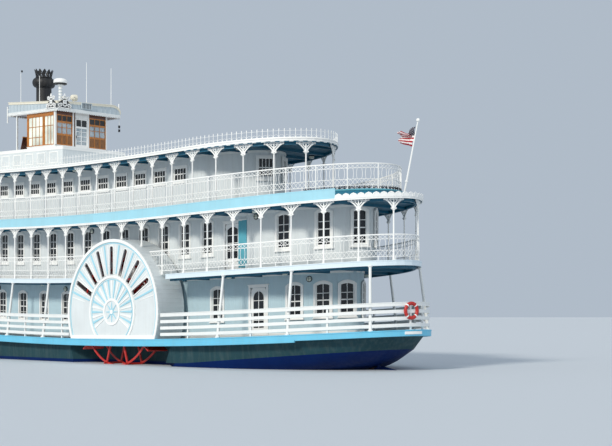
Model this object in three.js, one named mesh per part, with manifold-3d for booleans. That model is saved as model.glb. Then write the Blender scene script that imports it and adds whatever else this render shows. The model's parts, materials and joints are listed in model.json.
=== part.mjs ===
// Side-wheel paddle steamer with three decks, afloat.
// Millimetres. +X points forward, +Y to port and +Z up. The origin is on the waterline amidships.
// The decks are drawn flat, at their height at the stern, and sheered() then bends every piece alike.
import * as THREE from 'three';
import { mergeVertices } from 'three/addons/utils/BufferGeometryUtils.js';
import Module from 'manifold-3d';

const wasm = await Module();
wasm.setup();

// Driving dimensions. Lengths along the boat, called s, run forward from the aft end of the guard.
const MIDSHIPS = 19300;
const LENGTH = 40000; // past the bow
const FAR = 6000; // outside the boat on either side
const HIGH = 17000; // over the chimneys
const DEEP = 3000; // under the keel
const PAST = 10; // how far a cutting solid runs past what it cuts
const GAP = 0.3; // between pieces that touch
const CLEAR = 10; // round the edge of a door
const PIN_CLEAR = 0.7; // round a shaft in its bearing
const SHEER_SLOPE = 0.0655; // fall of the decks at the stern
const SHEER_CURVE = 1.95e-6; // how fast that fall turns into a rise, per mm
const SHEER_STEP = 6400; // the sheer is straight between stations this far apart
const FINE = 0.02; // how far a corner may move when needless ones are dropped

// Heights in the flat drawing, above the water at the stern
const GUARD_BOTTOM = 1417;
const GUARD_TOP = 1657;
const SECOND_BOTTOM = 4283;
const SECOND_TOP = 4453;
const ROOF2_BOTTOM = 6935;
const ROOF2_TOP = 7105;
const THIRD_TOP = 7405;
const ROOF3_BOTTOM = 9820;
const ROOF3_TOP = 9980;
const TEXAS_TOP = 11130;
const PILOT_ROOF_BOTTOM = 13050;
const PILOT_ROOF_TOP = 13150;

// Deck plans: an elliptical stern, straight sides and a bow. bowPower is 0.5 for a round bow and 1 for a
// sharp one.
const GUARD = { aft: 260, half: 4434, run: 10160, fore: 38550, bowRun: 10000, bowPower: 0.9 };
const SECOND = { aft: 686, half: 4034, run: 10160, fore: 34200, bowRun: 4400, bowPower: 0.5 };
const ROOF2 = { aft: 609, half: 4034, run: 10160, fore: 33400, bowRun: 4200, bowPower: 0.5 };
const THIRD = { aft: 1700, half: 4000, run: 9069, fore: 33300, bowRun: 4150, bowPower: 0.5 };
const ROOF3 = { aft: 5386, half: 3176, run: 5417, fore: 30600, bowRun: 3300, bowPower: 0.5 };
const MAIN_CABIN = { aft: 3540, half: 2700, run: 8700, fore: 31000 };
const SECOND_CABIN = { aft: 2850, half: 2750, run: 9000, fore: 29600 };
const THIRD_CABIN = { aft: 8240, half: 2100, run: 4500, fore: 28600 };
const THIRD_JOINT = 26000; // where the third deck's two lengths meet
const STERN_STEPS = 7;
const BOW_STEPS = 4;

// Hull rings from the deck edge down. z is the height at the stern and zMid that amidships, HULL_TURN
// further forward.
const HULL_RINGS = [
  { z: null, aft: 620, half: 4050, run: 10100, fore: 38300, bowRun: 10400, bowPower: 1 },
  { z: 850, zMid: 150, aft: 1120, half: 4000, run: 10000, fore: 37980, bowRun: 11000, bowPower: 1.15 },
  { z: 200, zMid: -420, aft: 2350, half: 3900, run: 9600, fore: 37600, bowRun: 11600, bowPower: 1.3 },
  { z: -350, zMid: -900, aft: 4300, half: 3500, run: 9000, fore: 37200, bowRun: 12000, bowPower: 1.4 },
  { z: -1000, zMid: -1100, aft: 7200, half: 2500, run: 8400, fore: 36600, bowRun: 12500, bowPower: 1.5 },
];
const HULL_TURN = 9000;
const KEEL = { aft: 2760, fore: 36300, half: 90, bottom: -1350, shoe: -1270, shoeAft: 2150, inside: -1000,
  rise: 900, skegTop: 300, skegFore: 5000, skegFoot: 9000 };

// Paddle wheels
const WHEEL_AT = 14400;
const WHEEL_Z = 2350; // above the real waterline
const WHEEL_RADIUS = 2900;
const WHEEL_IN = 3120;
const WHEEL_OUT = 4230;
const WHEEL_FLOATS = 10;
const SHAFT_RADIUS = 110;
const SHAFT_CLEAR = 30; // round the shaft where it passes through the box
const BOX_RADIUS = 3260;
const BOX_WALL = 80;
const BOX_IN = 2940;
const BOX_OUT = 4425;
const WELL_LESS = 470; // how much shorter than the box the hole in the main deck is at each end
const NOTCH_CLEAR = 20; // between the box and the second deck
const SHAFT_PAST = 190; // how far the shaft runs inboard of the box
const RECESS_WALL = 2960; // where the hull stops beside the wheel
const RECESS_CLEAR = 340; // between the wheel and the hull fore and aft of it

// Rudder: stock is the s of its turning axis
const RUDDER = { stock: 2450, half: 45, radius: 90, head: 500 };
const TRUNK_SIDES = 12;
const TRUNK_TOP = 1250;

// Colour, roughness and metalness of each finish
const MATERIALS = {
  navy: [0x16305c, 0.45, 0],
  guardBlue: [0x3f9fce, 0.5, 0],
  boardBlue: [0x8fd0e8, 0.5, 0],
  white: [0xf2f4f5, 0.55, 0],
  wood: [0xb5692c, 0.4, 0],
  black: [0x17181b, 0.5, 0.2],
  red: [0xd8412f, 0.5, 0],
  iron: [0x33383d, 0.5, 0.6],
  flag: [0xb43a3f, 0.8, 0],
};

const group = new THREE.Group();
const x = (s) => s - MIDSHIPS;

// Depth of the sheer at a place along the boat, straight between stations
function sheerFall(place) {
  const s = place + MIDSHIPS;
  const low = Math.floor(s / SHEER_STEP) * SHEER_STEP;
  const high = low + SHEER_STEP;
  const curve = (t) => SHEER_SLOPE * t - SHEER_CURVE * t * t;
  return curve(low) + ((curve(high) - curve(low)) * (s - low)) / SHEER_STEP;
}

// Solids
function solidOf(geometry) {
  const bare = geometry.clone();
  bare.deleteAttribute('normal');
  bare.deleteAttribute('uv');
  const merged = mergeVertices(bare, 1e-3);
  return new wasm.Manifold(new wasm.Mesh({
    numProp: 3,
    vertProperties: Float32Array.from(merged.attributes.position.array),
    triVerts: Uint32Array.from(merged.index.array),
  }));
}

const join = (solids) => solids.reduce((whole, solid) => whole.add(solid));
const cut = (solid, tools) => tools.reduce((rest, tool) => rest.subtract(tool), solid);

function box(x0, x1, y0, y1, z0, z1) {
  const geometry = new THREE.BoxGeometry(x1 - x0, y1 - y0, z1 - z0);
  return solidOf(geometry.translate((x0 + x1) / 2, (y0 + y1) / 2, (z0 + z1) / 2));
}

// A box of width across, thickness deep and height z0 to z1, turned by angle about its own middle
function turnedBox(cx, cy, width, thickness, z0, z1, angle) {
  const geometry = new THREE.BoxGeometry(width, thickness, z1 - z0).rotateZ(angle);
  return solidOf(geometry.translate(cx, cy, (z0 + z1) / 2));
}

function slab(points, z0, z1) {
  const shape = new THREE.Shape(points);
  const geometry = new THREE.ExtrudeGeometry(shape, { depth: z1 - z0, bevelEnabled: false });
  return solidOf(geometry.translate(0, 0, z0));
}

// A slab drawn in the X-Z plane and as thick as y0 to y1
function plate(points, y0, y1) {
  const shape = new THREE.Shape(points);
  const geometry = new THREE.ExtrudeGeometry(shape, { depth: y1 - y0, bevelEnabled: false });
  return solidOf(geometry.rotateX(Math.PI / 2).translate(0, y1, 0));
}

function rod(from, to, radius, sides = 8, endRadius = radius) {
  const a = new THREE.Vector3(...from);
  const b = new THREE.Vector3(...to);
  const geometry = new THREE.CylinderGeometry(endRadius, radius, a.distanceTo(b), sides);
  const turn = new THREE.Quaternion().setFromUnitVectors(
    new THREE.Vector3(0, 1, 0), b.clone().sub(a).normalize());
  geometry.applyQuaternion(turn);
  const middle = a.add(b).multiplyScalar(0.5);
  return solidOf(geometry.translate(middle.x, middle.y, middle.z));
}

// Turned about a vertical axis from a profile of [radius, height] pairs
function turned(profile, cx, cy, sides) {
  const geometry = new THREE.LatheGeometry(profile.map(([r, z]) => new THREE.Vector2(r, z)), sides);
  return solidOf(geometry.rotateX(Math.PI / 2).translate(cx, cy, 0));
}

// One side of a plan from stern to bow, as [s, half breadth]
function halfPlan(plan, inset = 0) {
  const aft = plan.aft + inset;
  const run = plan.run - inset;
  const half = plan.half - inset;
  const side = [];
  for (let i = 0; i <= STERN_STEPS; i++) {
    const turn = (Math.PI / 2) * (i / STERN_STEPS);
    side.push([aft + run * (1 - Math.cos(turn)), half * Math.sin(turn)]);
  }
  if (plan.bowRun === undefined) {
    side.push([plan.fore - inset, half]);
    return side;
  }
  const shoulder = plan.fore - plan.bowRun;
  const bowRun = plan.bowRun - inset;
  for (let i = 0; i <= BOW_STEPS; i++) {
    const along = Math.sin((Math.PI / 2) * (i / BOW_STEPS));
    side.push([shoulder + bowRun * along, half * Math.max(0, 1 - along * along) ** plan.bowPower]);
  }
  return side;
}

// The whole closed plan, port side first
function wholePlan(plan, inset = 0) {
  const side = halfPlan(plan, inset).map(([s, y]) => [x(s), y]);
  const back = side.filter(([, y]) => y > 1).reverse().map(([px, y]) => [px, -y]);
  return [...side, ...back].map(([px, y]) => new THREE.Vector2(px, y));
}

// The half breadth of a plan, and the direction of its edge, at s on the port side
function edgeAt(plan, s, inset = 0) {
  const side = halfPlan(plan, inset);
  const next = Math.max(1, side.findIndex(([edge]) => edge > s));
  const [[s0, y0], [s1, y1]] = [side[next - 1], side[next]];
  return { y: y0 + ((y1 - y0) * (s - s0)) / (s1 - s0), angle: Math.atan2(y1 - y0, s1 - s0) };
}

// Places on the port edge of a plan at the given distances round from the stern's middle
function placesRound(plan, inset, distances) {
  const side = halfPlan(plan, inset);
  return distances.map((distance) => {
    let left = distance;
    for (let i = 1; i < side.length; i++) {
      const [s0, y0] = side[i - 1];
      const [s1, y1] = side[i];
      const length = Math.hypot(s1 - s0, y1 - y0);
      if (left <= length) {
        const t = left / length;
        return { s: s0 + t * (s1 - s0), y: y0 + t * (y1 - y0), angle: Math.atan2(y1 - y0, s1 - s0) };
      }
      left -= length;
    }
    return null;
  }).filter((place) => place !== null);
}

// A strip that follows a plan's edge, from one inset to another
function strip(plan, outer, inner, z0, z1) {
  return slab(wholePlan(plan, outer), z0, z1).subtract(slab(wholePlan(plan, inner), z0 - PAST, z1 + PAST));
}

// Splits every triangle at one station, then at the next, and lowers each corner by the sheer there
function sheered(solid) {
  const { vertProperties, triVerts, numProp } = solid.getMesh();
  const corners = [];
  for (let i = 0; i < vertProperties.length; i += numProp) {
    corners.push([vertProperties[i], vertProperties[i + 1], vertProperties[i + 2]]);
  }
  let triangles = [];
  for (let i = 0; i < triVerts.length; i += 3) {
    triangles.push([triVerts[i], triVerts[i + 1], triVerts[i + 2]]);
  }
  const bounds = corners.reduce(([low, high], [px]) => [Math.min(low, px), Math.max(high, px)], [1e9, -1e9]);
  const first = Math.ceil((bounds[0] + MIDSHIPS) / SHEER_STEP);
  for (let station = first * SHEER_STEP - MIDSHIPS; station < bounds[1]; station += SHEER_STEP) {
    triangles = splitAt(corners, triangles, station);
  }
  const positions = corners.flatMap(([px, py, pz]) => [px, py, pz - sheerFall(px)]);
  return plain(solidOf(indexed(positions, triangles.flat())).simplify(FINE));
}

function splitAt(corners, triangles, station) {
  const near = 0.01;
  const side = ([px]) => (px < station - near ? -1 : px > station + near ? 1 : 0);
  const cuts = new Map();
  const cutEdge = (a, b) => {
    const [low, high] = a < b ? [a, b] : [b, a];
    const key = `${low},${high}`;
    if (!cuts.has(key)) {
      const t = (station - corners[low][0]) / (corners[high][0] - corners[low][0]);
      corners.push([0, 1, 2].map((k) => corners[low][k] + t * (corners[high][k] - corners[low][k])));
      cuts.set(key, corners.length - 1);
    }
    return cuts.get(key);
  };
  const result = [];
  for (const triangle of triangles) {
    const sides = triangle.map((corner) => side(corners[corner]));
    if (!(sides.includes(-1) && sides.includes(1))) {
      result.push(triangle);
      continue;
    }
    const onPlane = sides.indexOf(0);
    if (onPlane >= 0) {
      const [a, b, c] = [0, 1, 2].map((k) => triangle[(onPlane + k) % 3]);
      const middle = cutEdge(b, c);
      result.push([a, b, middle], [a, middle, c]);
      continue;
    }
    const alone = sides.findIndex((value) => sides.filter((other) => other === value).length === 1);
    const [a, b, c] = [0, 1, 2].map((k) => triangle[(alone + k) % 3]);
    const p = cutEdge(a, b);
    const q = cutEdge(a, c);
    result.push([a, p, q], [p, b, c], [p, c, q]);
  }
  return result;
}

function indexed(positions, triangles) {
  const geometry = new THREE.BufferGeometry();
  geometry.setAttribute('position', new THREE.Float32BufferAttribute(positions, 3));
  geometry.setIndex(triangles);
  geometry.computeVertexNormals();
  return geometry;
}

function plain(solid) {
  const { vertProperties, triVerts } = solid.getMesh();
  return indexed(Array.from(vertProperties), Array.from(triVerts));
}

function addMesh(name, finish, geometry) {
  const [color, roughness, metalness] = MATERIALS[finish];
  const mesh = new THREE.Mesh(geometry, new THREE.MeshStandardMaterial({ color, roughness, metalness }));
  mesh.name = name;
  group.add(mesh);
}

// A piece that follows the sheer, and one that stays as drawn
const onDeck = (name, finish, solid) => addMesh(name, finish, sheered(solid));
const upright = (name, finish, solid) => addMesh(name, finish, plain(solid));

function mirrored(portName, starboardName, finish, port) {
  onDeck(portName, finish, port);
  onDeck(starboardName, finish, port.mirror([0, 1, 0]));
}

// Boxes beside the centreline that cut room for the wheels, from inner to outer breadth
function wheelWells(inner, outer, reach, z0, z1) {
  const port = box(x(WHEEL_AT - reach), x(WHEEL_AT + reach), inner, outer, z0, z1);
  return [port, port.mirror([0, 1, 0])];
}

// Hull: rings of equal counts joined by side faces, closed by a deck and a flat bottom
function hullRing(ring) {
  return halfPlan(ring).map(([s, y]) => {
    const along = Math.min(1, Math.max(0, (s - ring.aft) / HULL_TURN));
    const z = ring.z === null ? GUARD_BOTTOM - GAP
      : ring.z + (ring.zMid - ring.z) * along + sheerFall(x(s));
    return [x(s), y, z];
  });
}

function hull() {
  const sides = HULL_RINGS.map(hullRing);
  const count = sides[0].length;
  const positions = [];
  const triangles = [];
  const corner = (ring, i) => ring * 2 * count + i;
  for (const side of sides) {
    for (const [px, y, z] of side) {
      positions.push(px, y, z);
    }
    for (const [px, y, z] of side) {
      positions.push(px, -y, z);
    }
  }
  const quad = (a, b, c, d) => triangles.push(a, b, c, a, c, d);
  for (let ring = 0; ring + 1 < sides.length; ring++) {
    for (let i = 0; i + 1 < count; i++) {
      quad(corner(ring, i), corner(ring, i + 1), corner(ring + 1, i + 1), corner(ring + 1, i));
      quad(corner(ring, count + i + 1), corner(ring, count + i), corner(ring + 1, count + i),
        corner(ring + 1, count + i + 1));
    }
  }
  const last = sides.length - 1;
  for (let i = 0; i + 1 < count; i++) {
    quad(corner(0, i), corner(0, count + i), corner(0, count + i + 1), corner(0, i + 1));
    quad(corner(last, i + 1), corner(last, count + i + 1), corner(last, count + i), corner(last, i));
  }
  const shell = solidOf(indexed(positions, triangles));
  return cut(shell, wheelWells(RECESS_WALL, FAR, WHEEL_RADIUS + RECESS_CLEAR, -DEEP, DEEP));
}

// Places from one s to another with every station between them
function alongStations(from, to) {
  const stations = [];
  for (let s = Math.ceil(from / SHEER_STEP + 0.01) * SHEER_STEP; s < to; s += SHEER_STEP) {
    stations.push(s);
  }
  return [from, ...stations, to];
}

// The keel bar, the skeg that carries it up to the counter and the shoe under the rudder
function keel() {
  const deep = KEEL.bottom;
  const bottom = alongStations(KEEL.shoeAft, KEEL.fore - KEEL.rise).map((s) => [s, deep]);
  const top = alongStations(KEEL.skegFoot, KEEL.fore).reverse().map((s) => [s, KEEL.inside]);
  const heel = [[KEEL.aft, KEEL.skegTop], [KEEL.aft, KEEL.shoe], [KEEL.shoeAft, KEEL.shoe]];
  const outline = [...heel, ...bottom, ...top, [KEEL.skegFore, KEEL.skegTop]];
  const lifted = outline.map(([s, z]) => new THREE.Vector2(x(s), z + sheerFall(x(s))));
  return plate(lifted, -KEEL.half, KEEL.half);
}

function buildHull() {
  const bore = (RUDDER.radius + PIN_CLEAR) / Math.cos(Math.PI / TRUNK_SIDES);
  const trunk = rod([x(RUDDER.stock), 0, KEEL.inside], [x(RUDDER.stock), 0, TRUNK_TOP], bore, TRUNK_SIDES);
  onDeck('hull', 'navy', cut(join([hull(), keel()]), [trunk]));
}

// Decks and roofs
function buildDecks() {
  const wells = wheelWells(BOX_IN + BOX_WALL, BOX_OUT - BOX_WALL, BOX_RADIUS - WELL_LESS, 0, DEEP);
  onDeck('main_deck', 'guardBlue', cut(slab(wholePlan(GUARD), GUARD_BOTTOM, GUARD_TOP), wells));
  const notches = wheelWells(BOX_IN - NOTCH_CLEAR, FAR, BOX_RADIUS + NOTCH_CLEAR, SECOND_BOTTOM - PAST,
    SECOND_TOP + PAST);
  onDeck('second_deck', 'boardBlue', cut(slab(wholePlan(SECOND), SECOND_BOTTOM, SECOND_TOP), notches));
  onDeck('second_deck_roof', 'white', slab(wholePlan(ROOF2), ROOF2_BOTTOM, ROOF2_TOP));
  const third = slab(wholePlan(THIRD), ROOF2_TOP + GAP, THIRD_TOP);
  const length = (from, to) => third.intersect(box(x(from), x(to), -FAR, FAR, 0, HIGH));
  onDeck('third_deck_aft', 'boardBlue', length(0, THIRD_JOINT));
  onDeck('third_deck_fore', 'boardBlue', length(THIRD_JOINT + GAP, LENGTH));
  onDeck('top_roof', 'white', slab(wholePlan(ROOF3), ROOF3_BOTTOM, ROOF3_TOP));
}

// Cabins: port and starboard walls that meet on the centreline aft, and a front wall. windows are the
// places of the side windows' middles and front those across the front wall; rise is how far a window's
// arched head stands over its sides. entry is an open doorway in the front wall.
const WALL = 80;
const DOOR_THICK = 50;
const DOOR_LIFT = 20; // between a door and the deck
const ARCH_STEPS = 4;
const row = (first, pitch, count) => Array.from({ length: count }, (_, i) => first + i * pitch);

const CABINS = [
  {
    prefix: 'main_cabin',
    plan: MAIN_CABIN,
    floor: GUARD_TOP,
    ceiling: SECOND_BOTTOM,
    windows: [3700, 4440, 5560, 9400, ...row(18300, 1850, 6)],
    front: [-1500, 0, 1500],
    shape: { width: 620, sill: 2450, head: 3800, rise: 90 },
    door: { s: 7230, width: 800, head: 3730 },
  },
  {
    prefix: 'second_cabin',
    plan: SECOND_CABIN,
    floor: SECOND_TOP,
    ceiling: ROOF2_BOTTOM,
    windows: [3010, 4170, 5880, ...row(9900, 1412.5, 13)],
    front: [-1500, 0, 1500],
    shape: { width: 600, sill: 5300, head: 6740, rise: 90 },
    door: { s: 8465, width: 800, head: 6500 },
  },
  {
    prefix: 'third_cabin',
    plan: THIRD_CABIN,
    floor: THIRD_TOP,
    ceiling: ROOF3_BOTTOM,
    windows: row(11000, 1412.5, 12),
    front: [-1400, 1400],
    shape: { width: 820, sill: 8750, head: 9340, rise: 0 },
    entry: { half: 500, head: 9500 },
  },
];

// A hole of a window's outline, standing at px, py and turned with the wall
function windowHole(px, py, { width, sill, head, rise }, angle) {
  const spring = head - rise;
  const outline = [[-width / 2, sill], [width / 2, sill]];
  for (let i = 0; i <= (rise ? ARCH_STEPS : 1); i++) {
    const across = rise ? 1 - (2 * i) / ARCH_STEPS : 1 - 2 * i;
    outline.push([(across * width) / 2, spring + rise * (1 - across * across)]);
  }
  const shape = new THREE.Shape(outline.map(([u, v]) => new THREE.Vector2(u, v)));
  const depth = WALL * 5;
  const geometry = new THREE.ExtrudeGeometry(shape, { depth, bevelEnabled: false });
  geometry.translate(0, 0, -depth / 2).rotateX(Math.PI / 2).rotateZ(angle);
  return solidOf(geometry.translate(px, py, 0));
}

const hinge = ([px, py], z0, z1) => rod([px, py, z0], [px, py, z1], CLEAR - GAP);

function doorHole(plan, door, floor) {
  const { y, angle } = edgeAt(plan, door.s, DOOR_THICK / 2);
  const width = door.width + 2 * CLEAR;
  return turnedBox(x(door.s), y, width, WALL * 5, floor - PAST, door.head + CLEAR, angle);
}

// A door leaf flush with the wall's outside, with a pin along its forward outer edge
function doorLeaf(plan, door, floor) {
  const { y, angle } = edgeAt(plan, door.s, DOOR_THICK / 2);
  const low = floor + DOOR_LIFT;
  const panel = turnedBox(x(door.s), y, door.width, DOOR_THICK, low, door.head, angle);
  const along = [Math.cos(angle), Math.sin(angle)];
  const pin = [
    x(door.s) + (door.width / 2) * along[0] - (DOOR_THICK / 2) * along[1],
    y + (door.width / 2) * along[1] + (DOOR_THICK / 2) * along[0],
  ];
  return panel.add(hinge(pin, low, door.head));
}

function buildCabin({ prefix, plan, floor, ceiling, windows, front, shape, door, entry }) {
  const z0 = floor + GAP;
  const z1 = ceiling - GAP;
  const shell = slab(wholePlan(plan), z0, z1).subtract(slab(wholePlan(plan, WALL), z0 - PAST, z1 + PAST));
  const frontBack = plan.fore - WALL;
  const holes = windows.map((s) => {
    const { y, angle } = edgeAt(plan, s, WALL / 2);
    return windowHole(x(s), y, shape, angle);
  });
  if (door) {
    holes.push(doorHole(plan, door, floor));
  }
  const side = box(x(plan.aft) - PAST, x(frontBack) - GAP, GAP / 2, FAR, z0 - PAST, z1 + PAST);
  mirrored(`${prefix}_port_wall`, `${prefix}_starboard_wall`, 'white', cut(shell.intersect(side), holes));
  const frontWall = box(x(frontBack), x(plan.fore), -plan.half, plan.half, z0, z1);
  const frontHoles = front.map((y) => windowHole(x(frontBack), y, shape, Math.PI / 2));
  if (entry) {
    frontHoles.push(box(x(frontBack) - PAST, x(plan.fore) + PAST, -entry.half, entry.half, 0, entry.head));
  }
  onDeck(`${prefix}_front_wall`, 'white', cut(frontWall, frontHoles));
  if (door) {
    mirrored(`${prefix}_port_door`, `${prefix}_starboard_door`, 'white', doorLeaf(plan, door, floor));
  }
}

// Colonnades and rails. Distances run round the deck's edge from the middle of the stern.
function posts(plan, inset, distances, radius, z0, z1) {
  return placesRound(plan, inset, distances).map(({ s, y }) => rod([x(s), y, z0], [x(s), y, z1], radius, 4));
}

// The port part of a piece between two places along the boat, and its mirror image
function halves(name, solid, aft, fore) {
  const port = solid.intersect(box(x(aft), x(fore), GAP / 2, FAR, 0, HIGH));
  mirrored(`port_${name}`, `starboard_${name}`, 'white', port);
}

function boxHalfWidth(z) {
  const rise = z - sheerFall(x(WHEEL_AT)) - WHEEL_Z;
  return Math.sqrt(Math.max(0, BOX_RADIUS ** 2 - rise ** 2));
}

// Rail of the main deck: four boards on posts, and stanchions that lean outward from the deck above
const MAIN_RAIL = {
  inset: 100,
  thick: 35,
  boards: 4,
  first: 130,
  pitch: 275,
  high: 135,
  top: 1085,
  post: 45,
};
const MAIN_POSTS = [...row(390, 3420, 4), ...row(19600, 3020, 6)];
const STANCHION_PLACES = [...row(2100, 3420, 3), ...row(21110, 3020, 5)];
// lean is how far a head stands in from its foot, square to the edge
const STANCHION = { foot: 75, head: 60, lean: 350, inset: 60, fore: 33700 };

function stanchion({ s, y, angle }) {
  const headAt = Math.min(s + STANCHION.lean * Math.sin(angle), STANCHION.fore);
  const head = [x(headAt), edgeAt(SECOND, headAt, STANCHION.inset).y, SECOND_BOTTOM];
  return rod([x(s), y, GUARD_TOP], head, STANCHION.foot, 4, STANCHION.head);
}

function buildMainRail() {
  const { inset, thick, boards, first, pitch, high, top, post } = MAIN_RAIL;
  const strips = row(GUARD_TOP + first, pitch, boards)
    .map((z) => strip(GUARD, inset, inset + thick, z, z + high));
  const railPosts = posts(GUARD, inset + post + PAST, MAIN_POSTS, post, GUARD_TOP, GUARD_TOP + top);
  const stanchions = placesRound(GUARD, inset + thick / 2, STANCHION_PLACES).map(stanchion);
  const room = box(x(0), x(LENGTH), -FAR, FAR, GUARD_TOP + GAP, SECOND_BOTTOM - GAP);
  const whole = join([...strips, ...railPosts, ...stanchions]).intersect(room);
  const free = BOX_RADIUS + 40;
  halves('main_rail_aft', whole, 0, WHEEL_AT - free);
  halves('main_rail_fore', whole, WHEEL_AT + free, LENGTH);
}

// Ironwork rails, of which these are the handrail's sizes
const IRON_RAIL = { thick: 40, high: 50 };

function handrail(plan, inset, floor, height) {
  return strip(plan, inset, inset + IRON_RAIL.thick, floor + height - IRON_RAIL.high, floor + height);
}

// The scrolled bracket at a column's head is a plate that narrows from the roof down to the column
const BRACKET = { half: 430, foot: 25, high: 420, thick: 30 };

function bracket({ s, y, angle }, top) {
  const { half, foot, high, thick } = BRACKET;
  const outline = [[-half, 0], [-foot, -high], [foot, -high], [half, 0]];
  const shape = new THREE.Shape(outline.map(([u, v]) => new THREE.Vector2(u, v)));
  const geometry = new THREE.ExtrudeGeometry(shape, { depth: thick, bevelEnabled: false });
  geometry.translate(0, 0, -thick / 2).rotateX(Math.PI / 2).rotateZ(angle);
  return solidOf(geometry.translate(x(s), y, top));
}

const SECOND_RAIL = { inset: 90, height: 1060 };
// second and third are how far in each deck's columns stand
const COLUMN = { second: 115, third: 150, radius: 55 };
const SECOND_COLUMNS = row(800, 1412.5, 27);
const THIRD_COLUMNS = row(880, 1360, 22);
const overBox = ({ s }) => Math.abs(s - WHEEL_AT) < boxHalfWidth(SECOND_TOP + 1000) + 2 * COLUMN.radius;

// The foot of a column: the second deck, or the curve of the paddle box where it stands over it
function columnFoot(s) {
  const across = Math.max(0, Math.abs(s - WHEEL_AT) - COLUMN.radius);
  const crown = Math.sqrt(Math.max(0, (BOX_RADIUS + GAP) ** 2 - across ** 2));
  return Math.max(SECOND_TOP + GAP, crown > 0 ? WHEEL_Z + sheerFall(x(WHEEL_AT)) + crown : 0);
}

function secondColumn(place, foot) {
  const top = ROOF2_BOTTOM - GAP;
  const column = rod([x(place.s), place.y, foot], [x(place.s), place.y, top], COLUMN.radius, 4);
  return column.add(bracket(place, top));
}

function buildSecondColonnade() {
  const places = placesRound(SECOND, COLUMN.second, SECOND_COLUMNS).filter((place) => !overBox(place));
  const columns = places.map((place) => secondColumn(place, columnFoot(place.s)));
  const whole = join([...columns, handrail(SECOND, SECOND_RAIL.inset, SECOND_TOP, SECOND_RAIL.height)]);
  const free = boxHalfWidth(SECOND_TOP + 1000) + 20;
  const reach = BOX_RADIUS + 20;
  const boxes = box(x(WHEEL_AT - reach), x(WHEEL_AT + reach), 0, FAR, SECOND_TOP, SECOND_TOP + 1000);
  halves('second_colonnade_aft', whole.subtract(boxes), 0, WHEEL_AT - free);
  halves('second_colonnade_fore', whole.subtract(boxes), WHEEL_AT + free, LENGTH);
}

const THIRD_RAIL = { inset: 80, height: 1060, post: 30, places: row(645, 1282, 30) };
const THIRD_BEAM = { inner: 190, outer: 100, high: 90 };

function buildThirdDeckRails() {
  const { inset, height, post, places } = THIRD_RAIL;
  const line = inset + IRON_RAIL.thick / 2;
  const railPosts = posts(THIRD, line, places, post, THIRD_TOP + GAP, THIRD_TOP + height - PAST);
  halves('third_rail', join([handrail(THIRD, inset, THIRD_TOP, height), ...railPosts]), 0, LENGTH);
  const beamLow = ROOF3_BOTTOM - THIRD_BEAM.high;
  const beamTop = ROOF3_BOTTOM - GAP;
  const columns = posts(ROOF3, COLUMN.third, THIRD_COLUMNS, COLUMN.radius, THIRD_TOP + GAP, beamTop);
  const heads = placesRound(ROOF3, COLUMN.third, THIRD_COLUMNS);
  const brackets = heads.map((place) => bracket(place, beamLow + PAST));
  const beam = strip(ROOF3, THIRD_BEAM.outer, THIRD_BEAM.inner, beamLow, beamTop);
  halves('third_columns', join([beam, ...columns, ...brackets]), 0, LENGTH);
}

// The cresting round the top roof: pointed pickets on a low board, cut from one plate along each straight
const CREST = { inset: 55, thick: 30, board: 70, top: 410, pitch: 940, picket: 130 };

function crestPlate([s0, y0], [s1, y1]) {
  const { thick, board, top, pitch, picket } = CREST;
  const length = Math.hypot(s1 - s0, y1 - y0);
  const count = Math.max(1, Math.round(length / pitch));
  const outline = [[0, 0], [length, 0], [length, board]];
  for (let i = count - 1; i >= 0; i--) {
    const middle = (length * (i + 0.5)) / count;
    outline.push([middle + picket / 2, board], [middle, top], [middle - picket / 2, board]);
  }
  outline.push([0, board]);
  const shape = new THREE.Shape(outline.map(([u, v]) => new THREE.Vector2(u, v)));
  const geometry = new THREE.ExtrudeGeometry(shape, { depth: thick, bevelEnabled: false });
  geometry.translate(0, 0, -thick / 2).rotateX(Math.PI / 2).rotateZ(Math.atan2(y1 - y0, s1 - s0));
  return solidOf(geometry.translate(x(s0), y0, ROOF3_TOP + GAP));
}

function buildCrest() {
  const side = halfPlan(ROOF3, CREST.inset);
  const plates = side.slice(1).map((end, i) => crestPlate(side[i], end));
  halves('roof_crest', join(plates), 0, LENGTH);
}

// Paddle boxes: half-round boxes with fan-shaped slots in the outer face, and columns on their crown
const BOX_STEPS = 14;
const SLOT = { count: 7, turn: 0.36, width: 260, length: 1250, radius: 2300 };

function archOutline(radius, low) {
  const start = Math.asin(low / radius);
  return row(0, 1, BOX_STEPS + 1).map((i) => {
    const turn = start + (Math.PI - 2 * start) * (i / BOX_STEPS);
    return new THREE.Vector2(radius * Math.cos(turn), radius * Math.sin(turn));
  });
}

function buildPaddleBoxes() {
  const centre = WHEEL_Z + sheerFall(x(WHEEL_AT));
  const low = GUARD_TOP + GAP - centre;
  const place = (solid) => solid.translate([x(WHEEL_AT), 0, centre]);
  const outer = place(plate(archOutline(BOX_RADIUS, low), BOX_IN, BOX_OUT));
  const hollow = archOutline(BOX_RADIUS - BOX_WALL, low - BOX_WALL);
  const room = place(plate(hollow, BOX_IN + BOX_WALL, BOX_OUT - BOX_WALL));
  const slots = row((-(SLOT.count - 1) / 2) * SLOT.turn, SLOT.turn, SLOT.count).map((turn) => {
    const slot = new THREE.BoxGeometry(SLOT.width, 5 * BOX_WALL, SLOT.length);
    return place(solidOf(slot.translate(0, 0, SLOT.radius).rotateY(turn).translate(0, BOX_OUT, 0)));
  });
  const holeTo = BOX_IN + BOX_WALL + PAST;
  const shaftHole = place(rod([0, BOX_IN - PAST, 0], [0, holeTo, 0], SHAFT_RADIUS + SHAFT_CLEAR, 16));
  const columns = placesRound(SECOND, COLUMN.second, SECOND_COLUMNS).filter(overBox).map((spot) => {
    const crown = Math.sqrt((BOX_RADIUS - BOX_WALL / 2) ** 2 - (spot.s - WHEEL_AT) ** 2);
    return secondColumn(spot, centre + crown);
  });
  const port = join([cut(outer, [room, shaftHole, ...slots]), ...columns]);
  mirrored('port_paddle_box', 'starboard_paddle_box', 'white', port);
}

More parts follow.
